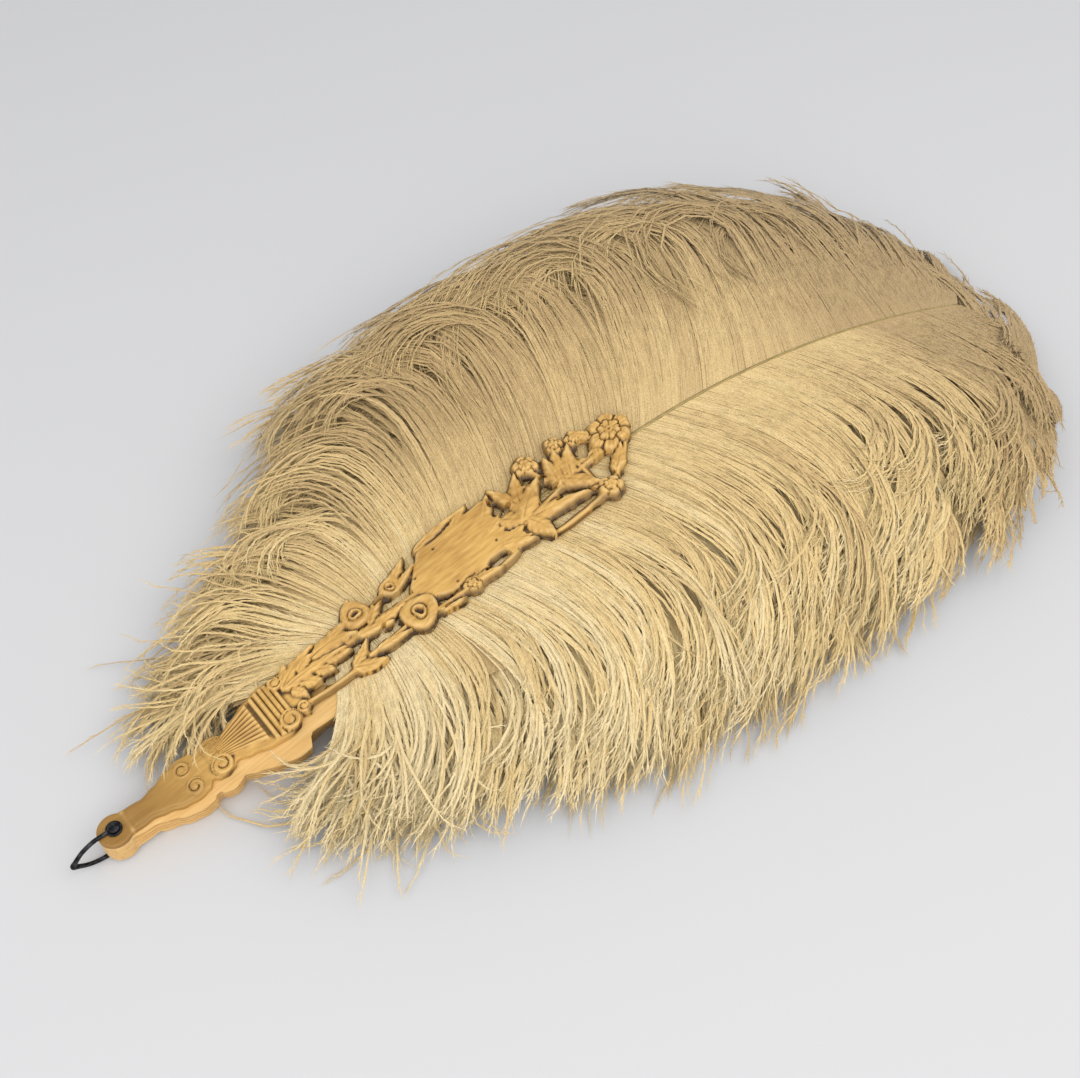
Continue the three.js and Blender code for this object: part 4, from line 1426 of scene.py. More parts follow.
@dataclass
class Heap:
    """The heap of the resting plumes: level at the sticks, sunk to the near rim, swollen to the far one."""

    spine_offset: float = 4.0
    spine_sweep: float = 30.0
    spine_power: float = 1.4
    spine_free: float = 207.0
    spine_end: float = 450.0
    near_level: float = 30.0
    near_rim: float = 142.0
    near_sink: float = 0.92
    far_level: float = 20.0
    far_rim: float = 142.0
    far_swell: float = 0.16
    rim_pitch: float = 1.3
    table_gap: float = 0.2
    near_hang: float = 0.35
    far_hang: float = 0.35
    fence_near: float = 146.0
    fence_far: float = 148.0
    fence_tip: float = 499.0
    fence_soft: float = 22.0
    crest_end: float = 455.0
    tip_end: float = 505.0
    tip_hang: float = 0.55
    slope_reach: float = 2.0
    near_reach: tuple[Point, ...] = ((0, 14), (30, 26), (55, 58), (70, 88), (115, 110), (158, 131),
                                     (229, 135), (298, 131), (354, 131), (400, 118), (440, 86), (468, 46),
                                     (488, 10))
    far_reach: tuple[Point, ...] = ((0, 26), (10, 32), (33, 50), (54, 70), (96, 100), (127, 116),
                                    (190, 136), (266, 142), (345, 150), (400, 150), (440, 124), (470, 76),
                                    (488, 10))

    def spine(self, x: Array) -> Array:
        """Y of the top plume's shaft: straight along its stick, then a sweep to the near side."""
        free = np.maximum(x - self.spine_free, 0.0) / (self.spine_end - self.spine_free)
        return self.spine_offset - self.spine_sweep * free ** self.spine_power

    def share(self, x: Array, y: Array) -> Array:
        """Share of a layer's height, as the solids have it.

        With n and f the shares of the way from the level part to the near and the far rim, it is
        1 - near_sink * n^2 + far_swell * s(f), where s eases from 0 to 1.

        Args:
            x, y: places along and across the fan.
        Returns:
            The share at each place.
        """
        off = y - self.spine(x)
        near = within((-off - self.near_level) / (self.near_rim - self.near_level))
        far = smooth((off - self.far_level) / (self.far_rim - self.far_level))
        return 1 - self.near_sink * near ** 2 + self.far_swell * far

    def hang(self, x: Array, y: Array) -> Array:
        """Share that is left where barbs' ends hang.

        With d the distance from the spine in shares of the outline's, it is 1 - near_hang * d^6 on the near
        side and 1 - far_hang * d^8 on the far side; past the shafts' ends both sink on by tip_hang.

        Args:
            x, y: places along and across the fan.
        Returns:
            The share at each place.
        """
        off = y - self.spine(x)
        near = within(-off / straight(self.near_reach, x))
        far = within(off / straight(self.far_reach, x))
        tip = within((x - self.crest_end) / (self.tip_end - self.crest_end))
        return (1 - self.near_hang * near ** 6 - self.far_hang * far ** 8) * (1 - self.tip_hang * tip ** 2)

    def fenced(self, path: Array) -> Array:
        """The points in plan, with those near the fence eased to stay inside it."""
        y = -self.eased(-self.eased(path[..., 1], self.fence_far), self.fence_near)
        return np.stack([self.eased(path[..., 0], self.fence_tip), y], -1)

    def eased(self, values: Array, limit: float) -> Array:
        """Values that come close to a limit and never pass it.

        Args:
            values: any numbers.
            limit: what they stay below.
        Returns:
            The eased numbers.
        """
        knee = limit - self.fence_soft
        past = np.maximum(values - knee, 0.0) / self.fence_soft
        return np.where(values > knee, knee + self.fence_soft * np.tanh(past), values)

    def height(self, index: int, x: Array, y: Array) -> Array:
        """Height of the middle of a plume's layer at a place of the closed fan."""
        rim = self.table_gap + index * self.rim_pitch
        return rim + (STACK.plume_level(index, np.hypot(x, y)) - rim) * self.share(x, y)

    def facing(self, index: int, x: Array, y: Array) -> Array:
        """Unit normals of a plume's layer with its hanging rim, from differences of its height.

        Args:
            index: place in the stack, from the bottom.
            x, y: places along and across the fan.
        Returns:
            A normal at each place.
        """
        reach = self.slope_reach
        slopes = [(self.height(index, x + a, y + b) * self.hang(x + a, y + b)
                   - self.height(index, x - a, y - b) * self.hang(x - a, y - b)) / (2 * reach)
                  for a, b in ((reach, 0.0), (0.0, reach))]
        return unit(np.stack([-slopes[0], -slopes[1], np.ones(x.shape)], -1))


HEAP = Heap()

# By share along the shaft: a barb's angle from the shaft where it leaves and where it ends, in degrees, its
# length on each side as a share of the full one, and the share of the curl at its end
BARB_LEAVES = [(0, 112), (0.05, 88), (0.12, 62), (0.4, 56), (0.75, 52), (0.92, 52), (1, 40)]
BARB_ENDS = [(0, 176), (0.06, 150), (0.16, 118), (0.45, 104), (0.8, 98), (0.93, 112), (1, 122)]
BARB_SIZES = {Side.NEAR: [(0, 0.58), (0.08, 0.76), (0.2, 0.98), (0.5, 1.0), (0.8, 0.80), (0.93, 0.46),
                          (1, 0.18)],
              Side.FAR: [(0, 0.66), (0.08, 0.76), (0.2, 0.98), (0.5, 0.98), (0.7, 1.0), (0.8, 0.94),
                         (0.93, 0.72), (1, 0.36)]}
HOOK_SHARES = [(0, 0), (0.1, 0.4), (0.35, 0.6), (0.55, 1), (0.75, 1), (1, 0.25)]

# Directions from the middle of a three-sided tube to its corners
CORNERS = np.radians([90.0, 210.0, 330.0])[:, None]


@dataclass(frozen=True)
class VaneLook:
    """How the barbs of one side curl and rise, and how pale they and their bed are, with painted shade that
    makes the far side darker.
    """

    hook: float
    arch: float
    tone: float
    root_tone: float
    root_share: float
    shade: float
    bed_tone: float
    bed_shade: float


# painted shade: the far vane has a lower tone and bed tone and darkens more along its barbs than the near one
LOOKS = {Side.NEAR: VaneLook(30.0, 1.5, 0.60, 0.32, 0.45, -0.05, 0.52, 0.40),
         Side.FAR: VaneLook(78.0, 5.0, 0.34, 0.40, 0.35, 0.18, 0.42, 0.50)}


@dataclass
class Locks:
    """How the barbs of one vane gather into locks, with the vane's own random numbers."""

    share: Array
    lock: Array
    centre: Array
    loose: Array
    wisp: Array
    count: int
    random: Chance

    def drawn(self, by_lock: float, by_barb: Array | float) -> Array:
        """Chance values for the barbs: the sum of one for the whole lock and one for each barb."""
        shared = self.random.normal(0, by_lock, self.count)[self.lock]
        return shared + self.random.normal(0, by_barb, len(self.lock))


@dataclass
class Plume:
    """One ostrich plume: a tapering shaft and, on each side, a vane of downy barbs gathered into locks.

    A barb starts along the shaft at a share of its length. Its path in plan turns away from the shaft; its
    height is the plume's own layer, which sinks to the table at the outline of the heap.
    """

    index: int
    turn: float
    barbs: int
    locks: int
    down: int
    wisps: int = 30
    wisp_share: float = 0.07
    root_width: float = 0.75
    full_width: float = 1.35
    start: float = 105.0
    length: float = 345.0
    lap: float = 6.0
    root_half: float = 1.2
    tip_half: float = 0.45
    reach_bottom: float = 142.0
    reach_top: float = 136.0
    far_reach: float = 1.33
    reach_per_degree: float = 0.03
    segments: int = 12
    family: int = 241
    hook_from: float = 0.5
    loose_share: float = 0.025
    loose_pull: float = 0.2
    least_pull: float = 0.62
    most_pull: float = 0.97
    lock_swing: float = 4.5
    lock_lift: float = 1.3
    top_lift: float = 1.8
    tip_shade: float = 0.60
    end_fade: float = 0.26
    lock_shade: float = 0.20
    bend_power: float = 1.15
    hang_angle: float = 64.0
    hang_power: float = 1.7
    far_root_turn: float = 34.0
    far_mid_turn: float = 24.0
    far_tip_turn: float = 16.0
    far_end_root: float = 18.0
    far_end_tip: float = 30.0
    near_end: float = 12.0
    lean: Place = (0.25, 0.1, 1.0)
    sway: Point = (0.8, 0.6)
    roll: float = 14.0
    flatness: float = 0.34
    tip_taper: float = 0.75
    least_height: float = 0.05
    softness: float = 0.76
    bed_stride: int = 1
    bed_share: float = 0.52
    bed_ragged: float = 0.16
    bed_tip: float = 0.75
    tip_cover: float = 0.0
    depth_shade: float = 0.24
    bed_ridge: float = 0.22
    wave: float = 2.8
    waves: float = 1.7
    bed_drop: float = 0.7
    bed_low: float = 0.3
    bed_edge: float = 0.02
    bed_half: float = 0.2
    bed_chance: float = 0.17
    down_from: float = 0.02
    down_to: float = 0.97
    down_flat: float = 0.6
    down_reach: float = 0.065
    down_spread: float = 1.9
    down_width: float = 0.62
    table_gap: float = 0.5
    layer_gap: float = 0.2
    table_soft: float = 1.4
    shaft_steps: int = 70
    shaft_sides: int = 10
    shaft_squash: float = 0.85
    shaft_room: float = 0.25
    seed: int = 7310

    @property
    def level(self) -> float:
        """Share of this plume's place in the stack, 0 at the bottom and 1 at the top."""
        return self.index / STACK.front

    def middle(self, share: Array) -> Array:
        """Points on the shaft's middle line, in the middle of its layer, turned to the leaf's rest angle.

        Args:
            share: shares of the shaft's length.
        Returns:
            The points.
        """
        x = self.start + self.length * share
        line = turned(np.stack([x, HEAP.spine(x), np.zeros(len(x))], -1), self.turn)
        line[:, 2] = HEAP.height(self.index, line[:, 0], line[:, 1])
        return line

    def shaft(self, material: Material) -> Piece:
        """The shaft: an ellipse that tapers to the tip.

        Args:
            material: its finish.
        Returns:
            The piece.
        """
        share = np.linspace(-self.lap / self.length, 1.0, self.shaft_steps)
        half = self.root_half + (self.tip_half - self.root_half) * share
        radius = np.minimum(self.start + self.length * share, STACK.guard_length)
        room = STACK.plume_rise(radius) / 2 - self.shaft_room
        up = np.minimum(half * self.shaft_squash, room)
        tube = sweep(self.middle(share), half, up, np.array([0.0, 1.0, 0.0]), self.shaft_sides)
        return tube.make(f"plume_shaft_{self.index}", material)

    def barb_family(self, side: Side) -> Array:
        """Paths in plan of smooth barbs all along the shaft, by share and step.

        The heading away from the shaft goes from leave to arrive with the step to the power bend_power; the
        last steps are shorter in plan, because there the barb hangs. A plume that is turned to the near side
        has shorter near barbs and longer far ones, so that all end at about the same outline.

        Args:
            side: which vane.
        Returns:
            The points.
        """
        share = np.linspace(0.0, 1.0, self.family)
        roots = self.middle(share)[:, :2]
        tangent = np.gradient(roots, axis=0)
        heading = np.arctan2(tangent[:, 1], tangent[:, 0])
        leave, arrive = straight(BARB_LEAVES, share), straight(BARB_ENDS, share)
        size = straight(BARB_SIZES[side], share)
        if side is Side.FAR:
            leave = leave + self.far_root_turn * (1 - smooth(share / 0.1))
            leave = leave + self.far_mid_turn * smooth((share - 0.5) / 0.4)
            leave = leave - self.far_tip_turn * smooth((share - 0.94) / 0.06)
            arrive = arrive + self.far_end_root * (1 - share)
            arrive = arrive - self.far_end_tip * smooth((share - 0.7) / 0.25)
        else:
            arrive = arrive + self.near_end * smooth(share / 0.3)
            size = size * (1 + self.tip_cover * smooth((share - 0.7) / 0.3))
        reach = (self.reach_bottom + (self.reach_top - self.reach_bottom) * self.level) * size
        spare = self.reach_per_degree * self.turn
        if side is Side.FAR:
            reach = reach * (1 + (self.far_reach - 1) * smooth(share / 0.4)) * (1 - 0.5 * spare)
        else:
            reach = reach * (1 + spare)
        step = (np.arange(self.segments) + 0.5) / self.segments
        away = leave[:, None] + (arrive - leave)[:, None] * step ** self.bend_power
        angle = heading[:, None] + side.value * np.radians(away)
        hang = np.radians(self.hang_angle) * step ** self.hang_power
        flat = np.cos(hang) * (reach / self.segments)[:, None]
        moves = np.stack([flat * np.cos(angle), flat * np.sin(angle)], -1)
        path = np.concatenate([np.zeros((self.family, 1, 2)), np.cumsum(moves, 1)], 1)
        return path + roots[:, None]

    def barb_paths(self, side: Side, random: Chance) -> tuple[Array, Array]:
        """Paths and tones of all barbs on one side.

        Args:
            side: which vane.
            random: the vane's own random numbers.
        Returns:
            Points by barb and step, and a tone for each point.
        """
        locks = self.gathered(random)
        step = np.linspace(0.0, 1.0, self.segments + 1)
        path = self.curled(side, self.drawn_in(side, locks, step), locks, step)
        phase = random.random(self.locks)[locks.lock] + random.normal(0, 0.03, len(locks.lock))
        wave = locks.drawn(self.wave, 0.2 * self.wave)
        sway = wave[:, None] * np.sin(2 * np.pi * (self.waves * step + phase[:, None])) * step ** 2
        path = HEAP.fenced(path + sway[..., None] * np.array(self.sway))
        lift = locks.drawn(self.lock_lift, np.where(locks.loose, 3.0, 0.6))
        if self.index == STACK.front:
            lift = self.top_lift * np.abs(lift)
        arch = LOOKS[side].arch * random.random(self.locks)[locks.lock]
        tone = self.tones(side, locks, step)
        height = self.settled(path, lift, step)
        height = height + arch[:, None] * np.sin(np.pi * within((step - 0.3) / 0.7))
        return np.concatenate([path, height[..., None]], -1), tone

    def gathered(self, random: Chance) -> Locks:
        """Shares the barbs out among locks along the shaft; wisps and some of the barbs stay loose.

        Args:
            random: the vane's own random numbers.
        Returns:
            Each barb's place and lock.
        """
        count = self.barbs + self.wisps
        share = np.concatenate([(np.arange(self.barbs) + random.random(self.barbs)) / self.barbs,
                                self.wisp_share * random.random(self.wisps)])
        wisp = np.arange(count) >= self.barbs
        loose = wisp | (random.random(count) < self.loose_share)
        lock = np.floor(share * self.locks + random.normal(0, 0.4, count))
        lock = np.clip(lock, 0, self.locks - 1).astype(int)
        centre = (lock + 0.5 + random.normal(0, 0.35, self.locks)[lock]) / self.locks
        return Locks(share, lock, centre, loose, wisp, self.locks, random)

    def drawn_in(self, side: Side, locks: Locks, step: Array) -> Array:
        """Paths in plan, each drawn from its own place on the shaft towards the middle of its lock.

        Args:
            side: which vane.
            locks: how the barbs gather.
            step: share along the barb.
        Returns:
            Points by barb and step, swung and lengthened a little by chance.
        """
        family = self.barb_family(side)
        pulled = locks.random.uniform(self.least_pull, self.most_pull, len(locks.lock))
        gather = np.where(locks.loose, self.loose_pull, pulled)
        pull = gather[:, None] * smooth((step - 0.30) / 0.70)
        place = within(locks.share[:, None] + (locks.centre - locks.share)[:, None] * pull)
        place = place * (self.family - 1)
        before = np.minimum(place.astype(int), self.family - 2)
        between = (place - before)[..., None]
        column = np.arange(self.segments + 1)[None, :]
        path = family[before, column] * (1 - between) + family[before + 1, column] * between
        swing = locks.drawn(self.lock_swing, np.where(locks.loose, 9.0, 1.2))
        grow = np.clip(1 + locks.drawn(0.08, np.where(locks.wisp, 0.12, 0.06)), 0.5, 1.7)
        offset = spun(path - path[:, :1], np.radians(swing)[:, None] * step)
        return path[:, :1] + offset * (1 + (grow - 1)[:, None] * step)[..., None]

    def curled(self, side: Side, path: Array, locks: Locks, step: Array) -> Array:
        """The paths with their ends turned on, past the share hook_from of their length.

        Args:
            side: which vane.
            path: points by barb and step.
            locks: how the barbs gather.
            step: share along the barb.
        Returns:
            The curled paths.
        """
        mean = LOOKS[side].hook
        hook = locks.random.normal(mean, 0.35 * mean, locks.count)[locks.lock]
        hook = hook * straight(HOOK_SHARES, locks.share)
        hook = hook + locks.random.normal(0, np.where(locks.loose, 24.0, 4.0))
        bend = int(self.hook_from * self.segments)
        beyond = within((step - step[bend]) / (1 - step[bend]))
        knee = path[:, bend:bend + 1]
        curl = spun(path - knee, side.value * np.radians(hook)[:, None] * beyond)
        return np.where(beyond[None, :, None] > 0, knee + curl, path)

    def tones(self, side: Side, locks: Locks, step: Array) -> Array:
        """How pale the barbs are, by share along the shaft, by chance, by step and by place in the lock; the
        darkening is painted shade at the plume's tip, in the lower plumes, on the far side and between the
        locks.

        Args:
            side: which vane.
            locks: how the barbs gather.
            step: share along the barb.
        Returns:
            A tone from 0 to 1 by barb and step.
        """
        look = LOOKS[side]
        tone = look.tone + look.root_tone * (1 - smooth(locks.share / look.root_share))
        # painted shade: the plume's tip and the plumes lower in the stack are darker
        tone = tone - self.tip_shade * smooth((locks.share - 0.64) / 0.28) - self.depth_shade * (1 - self.level)
        tone = tone + locks.drawn(0.11, 0.06)
        aside = within(2 * np.abs(locks.share - locks.centre) * self.locks)
        # painted shade along the barb: look.shade darkens it away from the shaft, most on the far side
        shade = look.shade * smooth((step - 0.22) / 0.3) - self.end_fade * smooth((step - 0.7) / 0.3)
        # painted shade between the locks: barbs towards a lock's sides are darker
        shade = shade + (self.lock_shade * aside ** 2)[:, None] * smooth(step / 0.5)
        return within(tone[:, None] - shade)

    def settled(self, path: Array, lift: Array, step: Array) -> Array:
        """Heights of the barbs' points: the layer's level, sunk with the heap, never through the table.

        Args:
            path: points in plan.
            lift: how far each barb's end stands off its layer.
            step: share along the barb.
        Returns:
            The heights.
        """
        x, y = path[..., 0], path[..., 1]
        free = smooth(step / 0.3)
        height = HEAP.height(self.index, x, y) * (1 - free + free * HEAP.hang(x, y))
        height = height + lift[:, None] * smooth((step - 0.25) / 0.75)
        floor = self.table_gap + self.layer_gap * self.index
        return floor + self.table_soft * np.logaddexp(0.0, (height - floor) / self.table_soft)

    def vane(self, side: Side, material: Material) -> Piece:
        """All barbs of one side as thin three-sided tubes that taper to a point, each with its down.

        Args:
            side: which vane.
            material: its finish.
        Returns:
            The piece.
        """
        random = np.random.default_rng(self.seed + 2 * self.index + (side is Side.FAR))
        points, tone = self.barb_paths(side, random)
        count, rings = points.shape[0], self.segments
        along = unit(np.gradient(points, axis=1))
        flat = unit(np.cross(np.array(self.lean), along))
        roll = np.radians(random.normal(0, self.roll, count))[:, None, None]
        flat = np.cos(roll) * flat + np.sin(roll) * np.cross(along, flat)
        normal = np.cross(along, flat)
        step = np.linspace(0.0, 1.0, rings + 1)[:rings]
        width = self.root_width + (self.full_width - self.root_width) * smooth(step / 0.4)
        half = width / 2 * (1 - self.tip_taper * smooth((step - 0.7) / 0.3))
        ring = (np.cos(CORNERS) * flat[:, :rings, None]
                + self.flatness * np.sin(CORNERS) * normal[:, :rings, None])
        body = points[:, :rings, None] + half[None, :, None, None] * ring
        facing = HEAP.facing(self.index, points[..., 0], points[..., 1])
        soft = unit(self.softness * facing[:, :rings, None] + (1 - self.softness) * unit(ring))
        normals = np.concatenate([soft.reshape(count, rings * 3, 3), facing[:, -1:]], 1)
        stride = rings * 3 + 1
        cloud = np.concatenate([body.reshape(count, rings * 3, 3), points[:, -1:]], 1)
        grid, around, quads = tube_grid(rings, 3)
        tip = np.stack([grid[-1], around[-1], np.full(3, rings * 3)], -1)
        caps = np.vstack([tip, grid[0][::-1]])
        shift = (np.arange(count) * stride)[:, None, None]
        values = np.concatenate([np.repeat(tone[:, :rings], 3, axis=1), tone[:, -1:]], 1)
        surface = Surface(cloud.reshape(-1, 3), (quads + shift).reshape(-1, 4), (caps + shift).reshape(-1, 3),
                          {"tone": values.ravel()}, normals.reshape(-1, 3))
        surface = surface.joined(self.barbules(points, along, flat, tone, random))
        surface = surface.joined(self.bed(side, random))
        return surface.make(f"{side.name.lower()}_barbs_{self.index}", material)

    def bed(self, side: Side, random: Chance) -> Surface:
        """The matted down under the barbs: a thin combed sheet over the first part of the barbs' length.

        Its middle is bed_drop below the barbs' own level, every second row stands bed_ridge higher, and each
        row has a tone of its own and ends a little sooner or later; it is shorter by bed_tip at the plume's
        tip, and both faces meet along its border.

        Args:
            side: which vane.
            random: the vane's own random numbers.
        Returns:
            The closed sheet.
        """
        columns = int(self.bed_share * self.segments) + 1
        family = self.barb_family(side)[::self.bed_stride, :columns]
        step = np.linspace(0.0, 1.0, self.segments + 1)[:columns]
        rows = len(family)
        size = 1 - self.bed_tip * smooth((np.linspace(0.0, 1.0, rows) - 0.7) / 0.3)
        size = size * random.uniform(1 - self.bed_ragged, 1.0, rows)
        family = family[:, :1] + size[:, None, None] * (family - family[:, :1])
        ridge = self.bed_ridge * (np.arange(rows) % 2)[:, None] * smooth(step / 0.2)
        level = np.maximum(self.settled(family, np.zeros(rows), step) - self.bed_drop + ridge, self.bed_low)
        border = np.minimum.outer(np.minimum(np.arange(rows), np.arange(rows)[::-1]),
                                  np.full(columns, rows)).clip(0, 1)
        border = border * np.minimum(np.arange(columns), np.arange(columns)[::-1]).clip(0, 1)
        half = self.bed_edge + self.bed_half * border
        top = np.concatenate([family, (level + half)[..., None]], -1)
        low = np.concatenate([family, np.maximum(level - half, self.least_height)[..., None]], -1)
        index = np.arange(rows * columns).reshape(rows, columns)
        cells = np.stack([index[:-1, :-1], index[1:, :-1], index[1:, 1:], index[:-1, 1:]], -1).reshape(-1, 4)
        rim = np.concatenate([index[0, :-1], index[:-1, -1], index[-1, :0:-1], index[:0:-1, 0]])
        after = np.roll(rim, -1)
        shift = rows * columns
        walls = np.stack([rim, after, after + shift, rim + shift], -1)
        quads = np.vstack([cells, cells[:, ::-1] + shift, walls])
        if side is Side.NEAR:
            quads = quads[:, ::-1]
        points = np.concatenate([top, low]).reshape(-1, 3)
        row = LOOKS[side].bed_tone + random.normal(0, self.bed_chance, rows)[:, None]
        # painted shade: each bed row darkens away from the shaft, into the shade under the barbs
        tone = within(row - LOOKS[side].bed_shade * smooth((step - 0.15) / 0.45))
        facing = HEAP.facing(self.index, family[..., 0], family[..., 1]).reshape(-1, 3)
        return Surface(points, quads, values={"tone": np.tile(tone.ravel(), 2)},
                       normals=np.concatenate([facing, -facing]))

    def barbules(self, points: Array, along: Array, flat: Array, tone: Array,
                 random: Chance) -> Surface:
        """The down on the barbs: short slim spikes, each a triangle on the barb drawn out to a tip.

        A spike starts on the barb at a place p. Its tip lies at p + reach, moved off the barb by its spread,
        to one side and the other in turn; past the barb's end it goes straight on.

        Args:
            points: the barbs' points.
            along: the barbs' directions there.
            flat: directions across the barbs there.
            tone: the barbs' tones there.
            random: the vane's own random numbers.
        Returns:
            The spikes.
        """
        count = points.shape[0]
        barb = np.repeat(np.arange(count), self.down)
        spot = (np.arange(self.down) + random.random((count, self.down))) / self.down
        place = (self.down_from + (self.down_to - self.down_from) * spot).ravel()
        reach = self.down_reach * random.uniform(0.6, 1.4, len(place))
        spread = self.down_spread * (0.3 + 0.7 * smooth(place / 0.4))
        hand = np.tile(np.where(np.arange(self.down) % 2, 1.0, -1.0), count)
        before = np.minimum((place * self.segments).astype(int), self.segments - 1)
        across = flat[barb, before]
        up = np.cross(along[barb, before], across)
        aside = (spread * hand * random.uniform(0.3, 1.2, len(place)))[:, None] * across
        rise = (0.4 * spread * random.normal(0, 1.0, len(place)))[:, None] * up
        tip = self.on_barb(points, barb, place + reach) + aside + rise
        ring = np.cos(CORNERS) * across[:, None] + self.down_flat * np.sin(CORNERS) * up[:, None]
        foot = self.on_barb(points, barb, place)[:, None] + self.down_width / 2 * ring
        cloud = np.concatenate([foot, tip[:, None]], 1)
        cloud[..., 2] = np.maximum(cloud[..., 2], self.least_height)
        faces = np.array([[2, 1, 0], [0, 1, 3], [1, 2, 3], [2, 0, 3]])
        shift = (4 * np.arange(len(place)))[:, None, None]
        shade = within(tone[barb, before] + random.normal(0.05, 0.08, len(place)))
        facing = HEAP.facing(self.index, tip[:, 0], tip[:, 1])[:, None]
        soft = unit(self.softness * facing + (1 - self.softness) * unit(ring))
        normals = np.concatenate([soft, facing], 1).reshape(-1, 3)
        return Surface(cloud.reshape(-1, 3), triangles=(faces + shift).reshape(-1, 3),
                       values={"tone": np.repeat(shade, 4)}, normals=normals)

    def on_barb(self, points: Array, barb: Array, place: Array) -> Array:
        """Points on the barbs at shares of their length; past 1 they go straight on.

        Args:
            points: the barbs' points.
            barb: which barb.
            place: share of its length.
        Returns:
            The points.
        """
        at = place * self.segments
        before = np.minimum(at.astype(int), self.segments - 1)
        share = (at - before)[:, None]
        return points[barb, before] * (1 - share) + points[barb, before + 1] * share


def spun(offsets: Array, angle: Array) -> Array:
    """Offsets in plan turned by angles in radians."""
    x, y = offsets[..., 0], offsets[..., 1]
    return np.stack([x * np.cos(angle) - y * np.sin(angle), x * np.sin(angle) + y * np.cos(angle)], -1)


@dataclass
class RivetAndBail:
    """The rivet's domed cap and the bent wire bail that turns on the rivet."""

    cap_radius: float = 2.4
    cap_height: float = 1.3
    play: float = 0.15
    eye_thickness: float = 1.0
    eye_radius: float = 3.3
    pin_hole: float = 1.8
    wire: float = 1.8
    reach: float = 20.5
    shoulder: float = 14.0
    head_radius: float = 7.0
    head_height: float = 0.75
    pinch: float = 1.44
    apex_swell: float = 0.3
    apex_length: float = 2.5
    apex_back: float = 1.2
    cap_gap: float = 0.05
    cap_rim: float = 0.3
    cap_foot: float = 0.15
    cap_chamfer: float = 0.12
    cap_steps: int = 14
    cap_crease: float = 50.0
    wire_gap: float = 0.3
    wire_run: float = 2.0
    wire_steps: int = 90
    wire_sides: int = 18
    head_gap: float = 1.5
    shoulder_drop: float = 2.0
    eye_turns: int = 48
    eye_sides: int = 12
    bail_crease: float = 60.0

    @property
    def stack_top(self) -> float:
        """Top of the front guard's board at the rivet."""
        return float(STACK.stick_underside(STACK.front, np.array(0.0))) + STACK.front_plate

    def cap(self, material: Material) -> Piece:
        """A low dome on a short rim: a quarter of an ellipse, turned about the rivet.

        Args:
            material: its finish.
        Returns:
            The piece.
        """
        low = self.stack_top + 2 * self.play + self.eye_thickness + self.cap_gap
        rise = self.cap_height - self.cap_rim
        turn = np.linspace(0, np.pi / 2, self.cap_steps)[:-1]
        dome = [(self.cap_radius * np.cos(t), low + self.cap_rim + rise * np.sin(t)) for t in turn]
        foot = [(self.cap_radius - self.cap_foot, low), (self.cap_radius, low + self.cap_chamfer)]
        profile = [(0.0, low), *foot, *dome, (0.0, low + self.cap_height)]
        return revolve(profile).make("rivet_dome", material, self.cap_crease)

    def wire_path(self) -> Array:
        """The wire's middle line: over the stack, down round the apex and back below it, as its mirror.

        Returns:
            X and Z along the line.
        """
        half = self.wire / 2
        upper, lower = self.stack_top + self.play + half, self.play + half
        middle = (upper + lower) / 2
        start, tip = self.cap_radius + self.wire_gap, half - self.reach
        over = [(-start, upper), (-start - self.wire_run, upper), (-self.head_radius - self.head_gap, upper),
                (-self.shoulder, upper - self.shoulder_drop), (tip + self.apex_back, middle + self.pinch)]
        below = [(x, upper + lower - z) for x, z in over[::-1]]
        return spline(np.array([*over, (tip, middle), *below]), self.wire_steps)

    def eye(self, low: float) -> Surface:
        """A flat round eye with a bore, its section made of the signed roots of cosine and sine.

        Args:
            low: height of its underside.
        Returns:
            The closed ring.
        """
        middle = (self.eye_radius + self.pin_hole) / 2
        turn = np.linspace(0, 2 * np.pi, self.eye_turns + 1)[:-1]
        section = np.linspace(0, 2 * np.pi, self.eye_sides, endpoint=False)
        wide, tall = np.cos(section), np.sin(section)
        out = middle + (self.eye_radius - self.pin_hole) / 2 * np.sign(wide) * np.abs(wide) ** 0.5
        up = low + self.eye_thickness / 2 * (1 + np.sign(tall) * np.abs(tall) ** 0.5)
        points = np.stack([out * np.cos(turn)[:, None], out * np.sin(turn)[:, None],
                           np.repeat(up[None], len(turn), 0)], -1)
        index = np.arange(points.shape[0] * points.shape[1]).reshape(points.shape[:2])
        ahead, around = np.roll(index, -1, axis=0), np.roll(index, -1, axis=1)
        quads = np.stack([index, ahead, np.roll(ahead, -1, axis=1), around], -1).reshape(-1, 4)
        return Surface(points.reshape(-1, 3), quads)

    def bail(self, material: Material) -> Piece:
        """The wire with its two eyes.

        Args:
            material: its finish.
        Returns:
            The piece.
        """
        line = self.wire_path()
        path = np.stack([line[:, 0], np.zeros(len(line)), line[:, 1]], -1)
        apex = np.exp(-np.square((path[:, 0] + self.reach) / self.apex_length))
        half = self.wire / 2 * (1 + self.apex_swell * apex)
        surface = sweep(path, half, half, np.array([0.0, 1.0, 0.0]), self.wire_sides)
        surface = surface.joined(self.eye(2 * self.play + self.head_height))
        surface = surface.joined(self.eye(self.stack_top + self.play))
        return surface.make("wire_bail", material, self.bail_crease)


